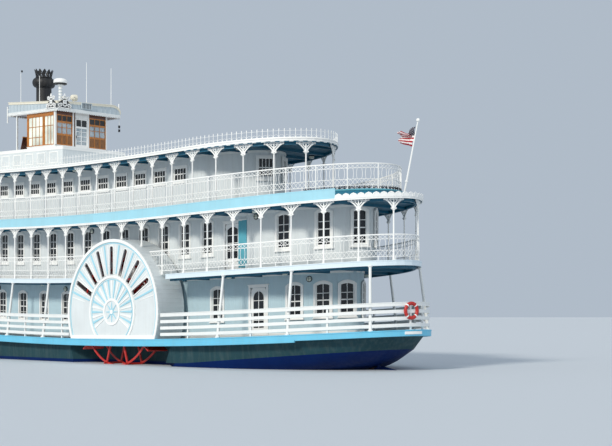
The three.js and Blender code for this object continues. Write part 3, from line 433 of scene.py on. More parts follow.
def varnished(name, rgb, dark):
    """Varnished wood with grain up and down"""
    material, tree, shader = nodes_of(name)
    grain = ramp(tree, noise_at(tree, 14.0, (4, 4, 0.35), 6.0), (0.32, srgb(*dark)), (0.62, srgb(*rgb)))
    cloud = ramp(tree, noise_at(tree, 1.7), (0.3, 0.75), (0.75, 1))
    put(tree, shader, Base_Color=blend(tree, "MULTIPLY", 1.0, grain, cloud), Roughness=0.32,
        Coat_Weight=0.4,
        Coat_Roughness=0.15)
    skinned(tree, shader, noise_at(tree, 60.0, (3, 3, 0.3)), 0.1, 0.004)
    return material


def glazing(name, rgb):
    """Opaque window glass with a painted colour: dark for the shade of a room behind it, pale for a
    painted sky reflection
    """
    material, tree, shader = nodes_of(name)
    colour = srgb(*rgb)
    pale = tuple(c * 2.2 + 0.004 for c in colour)
    put(tree, shader, Base_Color=ramp(tree, noise_at(tree, 0.8), (0.35, colour), (0.7, pale)),
        Roughness=0.08,
        IOR=1.5)
    return material


def clear_glass(name):
    """Thin window glass that can be seen through"""
    material, tree, shader = nodes_of(name)
    tone = ramp(tree, noise_at(tree, 1.2), (0.3, srgb(176, 196, 208)), (0.7, srgb(228, 238, 242)))
    put(tree, shader, Base_Color=tone, Roughness=0.06, Alpha=0.5)
    return material


def woven(name, rgb):
    """Light bunting with a fine weave"""
    material, tree, shader = nodes_of(name)
    colour = srgb(*rgb)
    tone = ramp(tree, noise_at(tree, 3.0), (0.3, times(colour, 0.86)), (0.7, colour))
    put(tree, shader, Base_Color=tone, Roughness=0.85, Sheen_Weight=0.25)
    skinned(tree, shader, noise_at(tree, 320.0, (1, 1, 3)), 0.2, 0.002)
    return material


WHITE = painted("white_paint", (240, 242, 240), 0.06, 0.12)
WALL_WHITE = painted("wall_white", (226, 232, 233), 0.08, 0.2)
# Bluish grey-white for the main cabin's walls: painted shade of the second deck over them
MAIN_WALL_IN_SHADE = painted("main_wall_painted_shade", (194, 219, 228), 0.1)
TRIM_WHITE = painted("trim_white", (250, 250, 247), 0.04, 0.06, 0.4)
FASCIA_WHITE = painted("fascia_paint", (226, 240, 247), 0.06, 0.15)
# Cream: on the pilothouse parapet's cap it is white paint with painted sunlight
CREAM = painted("cream_paint", (238, 232, 214), 0.06, 0.15)
# Pale blue-grey: on the parapet's lower band and battens it is painted shade under the cap
ROOF_GREY = painted("roof_grey_paint", (196, 208, 214), 0.08, 0.2)
PALE_BLUE = painted("pale_blue_paint", (166, 220, 236), 0.08, 0.2)
GUARD_BLUE = painted("guard_blue_paint", (112, 202, 234), 0.14, 0.3)
TURQUOISE = painted("turquoise_paint", (92, 178, 196), 0.12, 0.2)
TEAL = painted("teal_paint", (28, 128, 158), 0.15, 0.2)
SOFFIT_PAINT = painted("soffit_paint", (6, 96, 124), 0.12, 0.1)
NAVY = painted("navy_paint", (0, 34, 92), 0.25, 0.3, 0.5, 0.3, dirt=(0.0, 0.06, 0.16), shine=0.12)
# A duller, greyer navy for the hull's upper strip: painted shadow of the overhanging guard
GUARD_SHADOW_NAVY = painted("guard_shadow_navy_paint", (38, 72, 80), 0.2, 0.45, 0.6, dirt=(0.3, 0.33, 0.28), shine=0.2)
BOTTOM = painted("bottom_paint", (70, 36, 30), 0.2, 0.2, 0.7)
BLACK = painted("black_paint", (30, 30, 33), 0.3, 0.3, 0.5)
IRON = painted("iron", (60, 64, 68), 0.3, 0.3, 0.5, metal=0.6)
RED = painted("red_paint", (196, 44, 38), 0.15, 0.2)
SOFFIT = planked("soffit_boards", (8, 102, 132), 0.14, "y", 0.12)
DECK = planked("deck_planks", (120, 134, 140), 0.11)
WOOD = varnished("varnished_wood", (214, 136, 46), (160, 90, 26))
BROWN = varnished("dark_wood", (112, 60, 34), (62, 30, 16))
PANEL_WOOD = varnished("panel_wood", (166, 108, 44), (114, 70, 24))
GLASS = glazing("dark_glass", (14, 18, 22))
# Opaque pale glass: on the pilothouse's port windows it is a painted sky reflection
PALE_GLASS = glazing("pale_glass", (196, 200, 188))
CLEAR_GLASS = clear_glass("clear_glass")
FLAG_RED = woven("flag_red_cloth", (172, 16, 34))
FLAG_WHITE = woven("flag_white_cloth", (246, 240, 238))
NIGHT_BLUE = woven("flag_blue_cloth", (20, 22, 54))


# Hull
HULL_RINGS = (  # height at the stern and amidships (None is the deck), then the plan
    (None, None, Plan(0.62, 4.05, 10.1, 38.3, 10.4, 1.0)),
    (0.85, 0.15, Plan(1.12, 4.0, 10.0, 37.98, 11.0, 1.15)),
    (0.2, -0.42, Plan(2.35, 3.9, 9.6, 37.6, 11.6, 1.3)),
    (-0.35, -0.9, Plan(4.3, 3.5, 9.0, 37.2, 12.0, 1.4)),
    (-1.0, -1.1, Plan(7.2, 2.5, 8.4, 36.6, 12.5, 1.5)),
)
HULL_TURN = 9.0
RECESS = (11.16, 17.64, 2.96)
HULL_PLACES = (27, 27, 23)  # round the stern, along the side, round the bow


def hull_rings():
    rings = []
    for z, z_mid, plan in HULL_RINGS:
        places = plan.port(*HULL_PLACES)
        x = places[:, 0] - MIDSHIPS
        if z is None:
            height = GUARD_BOTTOM - 0.002 - fall(x)
        else:
            along = np.clip((places[:, 0] - plan.aft) / HULL_TURN, 0, 1)
            height = z + (z_mid - z) * along
        rings.append(np.column_stack([x, places[:, 1], height]))
    return rings


def smooth_rings(rings, parts):
    """More rings between the given ones, on curves through them; the second ring stays a knuckle"""
    out = [rings[0] + (rings[1] - rings[0]) * t for t in np.linspace(0, 1, parts, endpoint=False)]
    low = [2 * rings[1] - rings[2], *rings[1:], 2 * rings[-1] - rings[-2]]
    for i in range(1, len(low) - 2):
        a, b, c, d = low[i - 1:i + 3]
        for t in np.linspace(0, 1, parts, endpoint=False):
            out.append(0.5 * (2 * b + (c - a) * t + (2 * a - 5 * b + 4 * c - d) * t**2
                              + (3 * b - a - 3 * c + d) * t**3))
    return out + [rings[-1]]


def build_hull():
    parts = 4
    rings = smooth_rings(hull_rings(), parts)
    start, end, reach = RECESS
    shape = Shape()
    count = len(rings[0])
    for side in (1, -1):
        grid = []
        for ring in rings:
            row = []
            for x, y, z in ring:
                inside = start - MIDSHIPS < x < end - MIDSHIPS
                row.append((x, side * (min(y, reach) if inside else y), z))
            grid.append(row)
        corners = [c for row in grid for c in row]
        for r in range(len(rings) - 1):
            faces = []
            for i in range(count - 1):
                a, b = r * count + i, (r + 1) * count + i
                face = (a, a + 1, b + 1, b)
                faces.append(face if side > 0 else face[::-1])
            # Rings above the knuckle take the dull navy of the guard's painted shadow, then come the navy
            # and the bottom paint
            mark = 0 if r < parts else (2 if r >= 3 * parts else 1)
            shape.add(corners, faces, mark)
    for ring, mark in ((rings[0], 0), (rings[-1], 2)):
        corners = [(x, y, z) for x, y, z in ring] + [(x, -y, z) for x, y, z in ring]
        shape.add(corners, [(i, i + 1, count + i + 1, count + i) for i in range(count - 1)], mark)
    make("hull_shell", shape, [GUARD_SHADOW_NAVY, NAVY, BOTTOM], "hull_paint", ["hull"], sheer=False, smooth=32)


# Decks
# Plan, inset, low, high, finishes, marks on top and below, notch at the wheels, slot, piece and nodes
DECKS = (
    (GUARD, 0.05, GUARD_BOTTOM, GUARD_TOP, [GUARD_BLUE, DECK], 1, 0, (11.6, 17.2, 3.0),
     "guard_paint", "main_deck_planks", ["main_deck"]),
    (SECOND, 0.04, SECOND_BOTTOM, SECOND_TOP, [PALE_BLUE, DECK, SOFFIT], 1, 2, (11.12, 17.68, 2.92),
     "board_paint", "second_deck_planks", ["second_deck"]),
    (ROOF2, 0.04, ROOF2_BOTTOM, ROOF2_TOP, [WHITE, DECK, SOFFIT], 1, 2, None,
     "white_paint", "second_roof_boards", ["second_deck_roof"]),
    (THIRD, 0.03, ROOF2_TOP, THIRD_TOP, [TEAL, DECK], 1, 0, None,
     "board_paint", "third_deck_planks", ["third_deck_aft", "third_deck_fore"]),
    (ROOF3, 0.03, ROOF3_BOTTOM, ROOF3_TOP, [WHITE, SOFFIT], 0, 1, None,
     "white_paint", "top_roof_boards", ["top_roof"]),
)


def build_guard_timber():
    edge = Shape()
    boards_round(edge, Path(GUARD), ((-0.12, -0.03, GUARD_BOTTOM, GUARD_TOP - 0.02, 0),
                                     (-0.13, -0.012, GUARD_TOP - 0.035, GUARD_TOP + 0.01, 0)))
    make("guard_timber", edge, [GUARD_BLUE], "guard_paint", bevel=0.006)


def build_decks():
    for plan, inset, low, high, finishes, top, under, notch, slot, name, nodes in DECKS:
        deck = Shape()
        slab(deck, Path(plan, inset), low, high, 0, top, under, notch)
        make(name, deck, finishes, slot, nodes)
        if plan is GUARD:
            build_guard_timber()


# Shapes that stand in an upright plane, drawn as (across, up, out)
def plane(origin, along, normal):
    (x, y), (tx, ty), (nx, ny) = origin, along, normal
    return lambda u, v, w=0.0: (x + tx * u + nx * w, y + ty * u + ny * w, v)


def moved(spot, out):
    """The same plane, further out"""
    return lambda u, v, w=0.0: spot(u, v, w + out)


def raised(spot, up):
    """The same plane, drawn from a height"""
    return lambda u, v, w=0.0: spot(u, v + up, w)


def mirrored(half):
    """A closed outline from its right half, which runs from one end of the middle line to the other"""
    return [*half, *((-u, v) for u, v in reversed(half) if u)]


def block(shape, spot, u, v, w, mark=0):
    """A box in an upright plane, from pairs across, up and out"""
    (u0, u1), (v0, v1) = u, v
    shape.loft([[spot(u0, v0, out), spot(u1, v0, out), spot(u1, v1, out),
                 spot(u0, v1, out)] for out in w], mark)


def ribbon(shape, points, spot, wide, thick, mark=0, closed=False, end_wide=None):
    """A flat bar along points of (across, up), wide in their plane and thick across it"""
    count = len(points)
    end_wide = wide if end_wide is None else end_wide
    sections = []
    for i, (u, v) in enumerate(points):
        before = points[i - 1] if i or closed else points[0]
        after = points[(i + 1) % count] if closed or i + 1 < count else points[-1]
        du, dv = after[0] - before[0], after[1] - before[1]
        half = (wide + (end_wide - wide) * i / max(1, count - 1)) / 2 / math.hypot(du, dv)
        a, b = (u + dv * half, v - du * half), (u - dv * half, v + du * half)
        sections.append([spot(*a, -thick / 2), spot(*b, -thick / 2), spot(*b, thick / 2),
                         spot(*a, thick / 2)])
    shape.loft(sections, mark, closed=closed)


def arc(cu, cv, radius, start, end, parts):
    """Points on a circle, in degrees anticlockwise from across"""
    return spiral(cu, cv, radius, start, end - start, parts, radius)


def spiral(cu, cv, radius, start, turn, parts, end_radius):
    """Points on a curl that tightens from radius to end_radius"""
    return [(cu + r * math.cos(math.radians(t)), cv + r * math.sin(math.radians(t)))
            for r, t in zip(np.linspace(radius, end_radius, parts + 1),
                            np.linspace(start, start + turn, parts + 1))]


# Walls of upright boards
GROOVE_HALF, GROOVE_DEEP = 0.006, 0.008
WALL = 0.08


class Across:
    """A wall's line straight across the boat. Distances run from the centreline to port."""

    def __init__(self, s, facing=1.0):
        self.x, self.facing = s - MIDSHIPS, facing

    def at(self, distance):
        return self.x, distance, self.facing, 0.0

    def frame(self, distance):
        return np.array([self.x, distance]), np.array([0.0, 1.0]), np.array([self.facing, 0.0])

    def spot(self, distance):
        return plane(*self.frame(distance))


def boards(shape, path, thick, start, end, z0, z1, pitch, mark=0):
    """Upright boards with a groove at each joint, between two distances round a path"""
    if end - start < 0.02 or z1 - z0 < 0.02:
        return
    count = max(1, round((end - start) / pitch))
    stations = [(start, 0.0)]
    for joint in np.linspace(start, end, count + 1)[1:-1]:
        stations += [(joint - GROOVE_HALF, 0.0), (joint, -GROOVE_DEEP), (joint + GROOVE_HALF, 0.0)]
    stations.append((end, 0.0))
    rings = []
    for distance, out in stations:
        x, y, nx, ny = path.at(distance)
        rings.append([(x + nx * u, y + ny * u, z) for u, z in rect(-thick, out, z0, z1)])
    shape.loft(rings, mark)


def board_wall(shape, path, thick, start, end, z0, z1, pitch, openings, mark=0):
    """openings are (distance, half width, low, high)"""
    at = start
    for middle, half, low, high in sorted(openings):
        boards(shape, path, thick, at, middle - half, z0, z1, pitch, mark)
        boards(shape, path, thick, middle - half, middle + half, z0, low, pitch, mark)
        boards(shape, path, thick, middle - half, middle + half, high, z1, pitch, mark)
        at = middle + half
    boards(shape, path, thick, at, end, z0, z1, pitch, mark)


# Windows: casing, sash and glazing bars round dark glass. Mark 0 is the wall's own finish.
PAINT, PANE = 1, 2
CASING_WIDE, CASING_THICK = 0.095, 0.05
SASH_WIDE, SASH_IN = 0.05, -0.035
BAR_WIDE, MEETING_WIDE = 0.026, 0.045


def arched(width, sill, head, rise, grow=0.0):
    """A window's outline, with a round head if it has a rise"""
    half = width / 2 + grow
    corners = [(-half, sill - grow), (half, sill - grow)]
    if not rise:
        return corners + [(half, head + grow), (-half, head + grow)]
    lift = rise + 0.7 * grow
    radius = (half**2 + lift**2) / (2 * lift)
    reach = math.asin(min(1.0, half / radius))
    middle = head + grow - radius
    for i in range(9):
        turn = reach * (1 - i / 4)
        corners.append((radius * math.sin(turn), middle + radius * math.cos(turn)))
    return corners


def window(shape, spot, size, panes, sill_board=True):
    width, sill, head, rise = size
    columns, rows = panes
    shape.ring_plate(arched(*size, CASING_WIDE), arched(*size), moved(spot, 0.005), CASING_THICK, PAINT)
    shape.ring_plate(arched(*size), arched(*size, -SASH_WIDE), moved(spot, SASH_IN), 0.035, PAINT)
    shape.plate(arched(*size, -SASH_WIDE / 2), moved(spot, SASH_IN - 0.012), 0.01, PANE)
    inner, low, high = width / 2 - SASH_WIDE, sill + SASH_WIDE, head - SASH_WIDE
    bar_out = (SASH_IN - 0.014, SASH_IN + 0.012)
    for i in range(1, columns):
        u = -inner + 2 * inner * i / columns
        drop = rise * (u / (width / 2)) ** 2
        block(shape, spot, (u - BAR_WIDE / 2, u + BAR_WIDE / 2), (low, high - drop), bar_out, PAINT)
    for i in range(1, rows):
        v = low + (high - rise - low) * i / rows
        half = (MEETING_WIDE if 2 * i == rows else BAR_WIDE) / 2
        block(shape, spot, (-inner, inner), (v - half, v + half), bar_out, PAINT)
    if sill_board:
        reach = width / 2 + CASING_WIDE + 0.03
        block(shape, spot, (-reach, reach), (sill - CASING_WIDE - 0.05, sill - CASING_WIDE),
              (-0.01, 0.07), PAINT)


# Doors. pin is the hinge's x and y on the port side, in the outer face's forward corner, and turn is the
# angle between the leaf and the centreline.
DOORS = {
    "main": {"s": 7.23, "pin": (-11.68206, 2.26929), "turn": 0.19138, "width": 0.8, "head": 3.73,
             "floor": GUARD_TOP, "light": (0.56, 2.02, 3.6, 0.27), "low": (1.74, 1.93),
             "bars": (3.19, 2.77, 2.36)},
    "second": {"s": 8.465, "pin": (-10.43988, 2.57635), "turn": 0.10585, "width": 0.8, "head": 6.5,
               "floor": SECOND_TOP, "light": (0.62, 5.02, 6.4, 0.14), "low": (4.56, 4.9),
               "bars": (6.02, 5.69, 5.36)},
}
DOOR_LIFT, DOOR_EDGE = 0.02, 0.004


def door_plane(door, side):
    """The plane of a leaf's outer face, with its middle at 0 across"""
    turn = door["turn"]
    along = (math.cos(turn), side * math.sin(turn))
    normal = (-math.sin(turn), side * math.cos(turn))
    x, y = door["pin"]
    origin = (x - along[0] * door["width"] / 2, side * y - along[1] * door["width"] / 2)
    return plane(origin, along, normal)


def squared(outline, half, low, high):
    """The corners of a rectangle that face those of an outline, in equal counts"""
    wide = max(u for u, _ in outline)
    top, foot = (pick(v for _, v in outline) for pick in (max, min))
    corners = []
    for u, v in outline:
        a, b = u / wide, (2 * v - top - foot) / (top - foot)
        reach = max(abs(a), abs(b), 1e-6)
        corners.append((a / reach * half, (low + high) / 2 + b / reach * (high - low) / 2))
    return corners


LEAF_IN, PANEL_SIDE = -0.028, 0.28


def door_leaf(shape, spot, width, low, high, light, panel, bars):
    """A leaf with a glazed light over a sunk panel. Marks: 0 the leaf, 1 mouldings, 2 glass, 3 iron."""
    half = width / 2 - DOOR_EDGE
    middle = (panel[1] + light[1]) / 2
    sunk = (width - PANEL_SIDE, *panel, 0.0)
    for size, foot, top, grow, shrink in ((light, middle, high, 0.012, -0.018),
                                          (sunk, low, middle, 0.012, -0.02)):
        outline = arched(*size)
        shape.ring_plate(squared(outline, half, foot, top), outline, moved(spot, LEAF_IN), 0.04, 0)
        shape.ring_plate(arched(*size, grow), arched(*size, shrink), moved(spot, -0.006), 0.01, 1)
    shape.plate(arched(*sunk), moved(spot, -0.032), 0.014, 0)
    shape.plate(arched(*light, 0.005), moved(spot, -0.03), 0.008, 2)
    bar = BAR_WIDE / 2
    block(shape, spot, (-bar, bar), (light[1], light[2] - 0.005), (-0.024, -0.004), 1)
    for v in bars:
        block(shape, spot, (-light[0] / 2, light[0] / 2), (v - bar, v + bar), (-0.023, -0.005), 1)
    handle = middle - 0.05
    shape.rod(spot(-half + 0.07, handle, -0.008), spot(-half + 0.07, handle, 0.03), 0.011, 8, mark=3)
    shape.rod(spot(-half + 0.065, handle, 0.026), spot(-half + 0.17, handle, 0.026), 0.009, 8, mark=3)
    for v in (low + 0.2, (low + high) / 2, high - 0.2):
        shape.rod(spot(half + 0.002, v - 0.05, -0.003), spot(half + 0.002, v + 0.05, -0.003),
                  0.008, 8, mark=3)


# Cabins
CABINS = {
    "main": {"plan": MAIN_CABIN, "floor": GUARD_TOP, "ceiling": SECOND_BOTTOM, "pitch": 0.1,
             "windows": [3.7, 4.44, 5.56, 9.4] + [18.3 + 1.85 * i for i in range(6)],
             "front": [-1.5, 0, 1.5], "size": (0.62, 2.45, 3.8, 0.09), "panes": (2, 4), "entry": None},
    "second": {"plan": SECOND_CABIN, "floor": SECOND_TOP, "ceiling": ROOF2_BOTTOM, "pitch": 0.1,
               "windows": [3.01, 4.17, 5.88] + [9.9 + 1.4125 * i for i in range(13)],
               "front": [-1.5, 0, 1.5], "size": (0.6, 5.3, 6.74, 0.09), "panes": (2, 4), "entry": None},
    "third": {"plan": THIRD_CABIN, "floor": THIRD_TOP, "ceiling": ROOF3_BOTTOM, "pitch": 0.23,
              "windows": [12.4125 + 1.4125 * i for i in range(11)], "front": [-1.4, 1.4],
              "size": (0.82, 8.75, 9.34, 0.0), "panes": (4, 2), "entry": (0.5, 9.5)},
}
STERN_WINDOW_S, STERN_WINDOW = 8.42, (0.7, 8.62, 9.5, 0.0)
SKIRTING_HIGH, SKIRTING_OUT = 0.14, 0.018


def trim_band(shape, path, openings, start, end, z0, z1, out, mark):
    """A flat board along a wall, broken at the openings that it would cross"""
    at = start
    for middle, half, low, high in sorted(openings):
        if low < z1 and high > z0:
            band(shape, path, rect(-0.01, out, z0, z1), at, middle - half - CASING_WIDE, mark=mark)
            at = middle + half + CASING_WIDE
    band(shape, path, rect(-0.01, out, z0, z1), at, end, mark=mark)


def build_cabin(name, cabin):
    plan, floor, ceiling, pitch = cabin["plan"], cabin["floor"], cabin["ceiling"], cabin["pitch"]
    width, sill, head, _ = cabin["size"]
    side = Path(plan)
    places = [turn * side.near(s) for s in cabin["windows"] for turn in (1, -1)]
    openings = [(d, width / 2, sill, head) for d in places]
    door = DOORS.get(name)
    if door:
        doorways = [turn * side.near(door["s"]) for turn in (1, -1)]
        openings += [(d, door["width"] / 2 + 0.02, floor, door["head"] + 0.02) for d in doorways]
    stern_places = []
    if name == "third":
        stern_places = [turn * side.near(STERN_WINDOW_S) for turn in (1, -1)]
        openings += [(d, STERN_WINDOW[0] / 2, *STERN_WINDOW[1:3]) for d in stern_places]
    front = Across(plan.fore)
    front_openings = [(y, width / 2, sill, head) for y in cabin["front"]]
    if cabin["entry"]:
        front_openings.append((0.0, cabin["entry"][0], floor, cabin["entry"][1]))
    shape = Shape()
    board_wall(shape, side, WALL, -side.length, side.length, floor, ceiling, pitch, openings)
    board_wall(shape, front, WALL, -plan.half, plan.half, floor, ceiling, pitch, front_openings)
    for path, gaps, reach in ((side, openings, side.length), (front, front_openings, plan.half)):
        trim_band(shape, path, gaps, -reach, reach, floor, floor + SKIRTING_HIGH, SKIRTING_OUT, PAINT)
        trim_band(shape, path, gaps, -reach, reach, ceiling - 0.1, ceiling, SKIRTING_OUT, PAINT)
    for corner in (-plan.half, plan.half):
        spot = plane(*front.frame(corner))
        block(shape, spot, (-0.05, 0.05), (floor, ceiling), (-0.05, 0.02), PAINT)
    for path, spots, size, panes in ((side, places, cabin["size"], cabin["panes"]),
                                     (side, stern_places, STERN_WINDOW, (4, 2)),
                                     (front, cabin["front"], cabin["size"], cabin["panes"])):
        for d in spots:
            window(shape, path.spot(d), size, panes)
    if cabin["entry"]:
        doorway_casing(shape, front.spot(0.0), cabin["entry"][0], floor, cabin["entry"][1])
    for turn, _ in SIDES if door else ():
        doorway_casing(shape, door_plane(door, turn), door["width"] / 2 + 0.008, floor,
                       door["head"] + 0.01)
    # The main cabin's walls take the bluish white of painted shade, the others the plain wall white
    finishes = [MAIN_WALL_IN_SHADE if name == "main" else WALL_WHITE, TRIM_WHITE, GLASS]
    make(f"{name}_cabin_walls", shape, finishes,
         replaces=[f"{name}_cabin_{word}_wall" for word in ("port", "starboard", "front")])
    for turn, word in SIDES if door else ():
        leaf = Shape()
        door_leaf(leaf, door_plane(door, turn), door["width"], floor + DOOR_LIFT, door["head"],
                  door["light"], door["low"], door["bars"])
        make(f"{name}_{word}_door_leaf", leaf, [TRIM_WHITE, TRIM_WHITE, GLASS, IRON],
             body=f"{name}_{word}_leaf", replaces=[f"{name}_cabin_{word}_door"])


def doorway_casing(shape, spot, half, floor, top):
    """Boards round a doorway: jambs that line the wall and casings on its outside"""
    for side in (-1, 1):
        inner, outer = side * half, side * (half + CASING_WIDE)
        block(shape, spot, sorted((inner, outer)), (floor, top + CASING_WIDE), (-0.02, 0.03), PAINT)
        block(shape, spot, sorted((inner, side * (half + 0.03))), (floor, top), (-0.1, -0.02), PAINT)
    block(shape, spot, (-half, half), (top, top + CASING_WIDE), (-0.02, 0.03), PAINT)
    block(shape, spot, (-half - 0.13, half + 0.13), (top + CASING_WIDE, top + CASING_WIDE + 0.04),
          (-0.02, 0.05), PAINT)


# Columns with scrolled brackets
BRACKET_HALF, BRACKET_HIGH, BRACKET_THICK = 0.43, 0.42, 0.026


def bracket(shape, spot, top):
    """Openwork bracket: two curved arms with curled ends, scrolls between them and a lobed cap"""
    low = top - BRACKET_HIGH
    block(shape, spot, (-BRACKET_HALF, BRACKET_HALF), (top - 0.03, top), (-0.02, 0.02))
    for side in (-1, 1):
        arm = [(0.03, low), (0.045, low + 0.05), (0.09, low + 0.13), (0.16, low + 0.21),
               (0.24, low + 0.285), (0.315, low + 0.335), (0.37, low + 0.355), (0.405, low + 0.35)]
        arm += spiral(0.385, top - 0.062, 0.03, -25, 250, 6, 0.014)
        ribbon(shape, [(side * u, v) for u, v in arm], spot, 0.064, BRACKET_THICK, end_wide=0.036)
        curl = [(0.02, low + 0.17), (0.07, low + 0.235), (0.14, low + 0.3)]
        curl += spiral(0.165, top - 0.085, 0.045, 200, -280, 7, 0.016)
        ribbon(shape, [(side * u, v) for u, v in curl], spot, 0.046, BRACKET_THICK, end_wide=0.03)
        strut = [(0.225, low + 0.28), (0.25, low + 0.34), (0.3, low + 0.395)]
        ribbon(shape, [(side * u, v) for u, v in strut], spot, 0.048, BRACKET_THICK)
        ribbon(shape, arc(side * 0.082, top - 0.055, 0.032, 0, 330, 7), spot, 0.026, BRACKET_THICK * 0.8)
    ribbon(shape, [(0, low + 0.1), (0, top - 0.02)], spot, 0.04, BRACKET_THICK)
    ribbon(shape, arc(0, low + 0.135, 0.04, 0, 345, 8), spot, 0.026, BRACKET_THICK)
    shape.plate([(u, low + v) for u, v in CAP_LEAF], spot, 0.07)


CAP_LEAF = mirrored([(0.08, -0.035), (0.125, 0.0), (0.1, 0.035), (0.05, 0.02), (0.0, 0.045)])
COLUMN_PROFILE = [(0.075, 0.0), (0.075, 0.035), (0.055, 0.05), (0.05, 0.13), (0.037, 0.16)]
COLLAR_PROFILE = [(0.034, -0.62), (0.034, -0.5), (0.062, -0.49), (0.062, -0.465), (0.042, -0.455),
                  (0.042, -0.44), (0.068, -0.43), (0.068, -0.405), (0.036, -0.39), (0.03, -0.02)]


def column(shape, x, y, foot, top, spot=None, sides=8):
    profile = [(r, foot + z) for r, z in COLUMN_PROFILE] + [(r, top + z) for r, z in COLLAR_PROFILE]
    shape.turned(profile, x, y, sides)
    if spot:
        bracket(shape, spot, top)


SECOND_COLUMNS = [0.8 + 1.4125 * i for i in range(27)]
THIRD_COLUMNS = [0.88 + 1.36 * i for i in range(22)]
SECOND_COLUMN_INSET, THIRD_COLUMN_INSET = 0.115, 0.15
BOX_CENTRE = WHEEL_Z + float(fall(WHEEL_AT - MIDSHIPS))


def box_half_width(z):
    return math.sqrt(max(0.0, BOX_RADIUS**2 - (z - BOX_CENTRE) ** 2))


def side_runs(path, gap_aft, gap_fore):
    """The runs round a deck's edge that stop at the paddle boxes, as (start, end) distances"""
    aft, fore = path.near(gap_aft), path.near(gap_fore)
    return [(-path.length, -fore), (-aft, aft), (fore, path.length)]


def build_second_colonnade():
    edge = Path(SECOND, SECOND_COLUMN_INSET)
    rail = Path(SECOND, 0.11)
    halves = {"aft": Shape(), "fore": Shape(), "box": Shape()}
    over = box_half_width(SECOND_TOP + 1.0) + 0.11
    for distance in (side * d for d in SECOND_COLUMNS if d <= edge.length for side in (1, -1)):
        origin = edge.frame(distance)[0]
        s = origin[0] + MIDSHIPS
        reach = abs(s - WHEEL_AT)
        foot = SECOND_TOP
        if reach < BOX_RADIUS - 0.05:
            foot = max(foot, BOX_CENTRE + math.sqrt(BOX_RADIUS**2 - reach**2) - 0.01)
        part = "box" if reach < over else ("aft" if s < WHEEL_AT else "fore")
        column(halves[part], *origin, foot, ROOF2_BOTTOM, edge.spot(distance))
    runs = side_runs(rail, WHEEL_AT - over, WHEEL_AT + over)
    for run, part in zip(runs, ("fore", "aft", "fore")):
        iron_rail(halves[part], rail, SECOND_TOP, *run)
    for part in ("aft", "fore"):
        make(f"second_colonnade_{part}", halves[part], [TRIM_WHITE], smooth=35,
             replaces=both(f"second_colonnade_{part}"))
    make("box_crown_columns", halves["box"], [TRIM_WHITE], smooth=35)


# Ironwork rails: lattice bands over and under thin bars that bulge in pairs
RAIL_PITCH = 0.18
RAIL_TOP = 1.06
RAIL_BARS = (  # low, high, half thickness
    (1.015, 1.06, 0.022),
    (0.845, 0.865, 0.011),
    (0.4, 0.42, 0.011),
    (0.15, 0.175, 0.013),
)
LATTICE_BANDS = ((0.17, 0.405), (0.86, 1.02))
BULGE = 0.032


def iron_rail(shape, path, floor, start, end):
    count = max(1, round((end - start) / RAIL_PITCH))
    pitch = (end - start) / count
    for low, high, half in RAIL_BARS:
        band(shape, path, rect(-half, half, floor + low, floor + high), start, end)
    for i in range(count):
        spot = path.spot(start + (i + 0.5) * pitch)
        reach = pitch / 2
        for low, high in LATTICE_BANDS:
            ribbon(shape, [(-reach, floor + low), (reach, floor + high)], spot, 0.014, 0.012)
            ribbon(shape, [(-reach, floor + high), (reach, floor + low)], spot, 0.014, 0.012)
        side = 1 if i % 2 else -1
        bar = [(side * BULGE * math.sin(math.pi * t), floor + 0.415 + 0.435 * t)
               for t in np.linspace(0, 1, 6)]
        ribbon(shape, bar, spot, 0.016, 0.016)
        if i % 4 == 0:
            ribbon(shape, [(-reach, floor), (-reach, floor + 0.16)], spot, 0.026, 0.026)


THIRD_POSTS = [0.645 + 1.282 * i for i in range(30)]


def build_third_rail():
    path = Path(THIRD, 0.1)
    shape = Shape()
    iron_rail(shape, path, THIRD_TOP, -path.length, path.length)
    post = [(0.045, 0.0), (0.045, 0.03), (0.026, 0.05), (0.026, RAIL_TOP)]
    for distance in (side * d for d in THIRD_POSTS if d < path.length for side in (1, -1)):
        shape.turned(post, *path.at(distance)[:2], 8, foot=THIRD_TOP)
    make("third_deck_rail", shape, [TRIM_WHITE], smooth=35, replaces=both("third_rail"))
    columns = Shape()
    edge = Path(ROOF3, THIRD_COLUMN_INSET)
    for distance in (side * d for d in THIRD_COLUMNS if d < edge.length for side in (1, -1)):
        column(columns, *edge.frame(distance)[0], THIRD_TOP, ROOF3_BOTTOM - 0.002, edge.spot(distance))
    boards_round(columns, Path(ROOF3), ((-0.27, -0.19, ROOF3_BOTTOM - 0.09, ROOF3_BOTTOM, 1),))
    make("third_deck_columns", columns, [TRIM_WHITE, SOFFIT_PAINT], smooth=35,
         replaces=both("third_columns"))


# Main deck rail and its slanting stanchions
MAIN_RAIL_INSET, MAIN_RAIL_THICK = 0.1, 0.035
MAIN_RAIL_FIRST, MAIN_RAIL_PITCH, MAIN_RAIL_HIGH, MAIN_RAIL_TOP = 0.13, 0.275, 0.135, 1.085
MAIN_POSTS = [0.39 + 3.42 * i for i in range(4)] + [19.6 + 3.02 * i for i in range(6)]
STANCHIONS = [2.1 + 3.42 * i for i in range(3)] + [21.11 + 3.02 * i for i in range(5)]
STANCHION_LEAN, STANCHION_FORE = 0.35, 33.7  # how far a head stands in from its foot, and how far forward


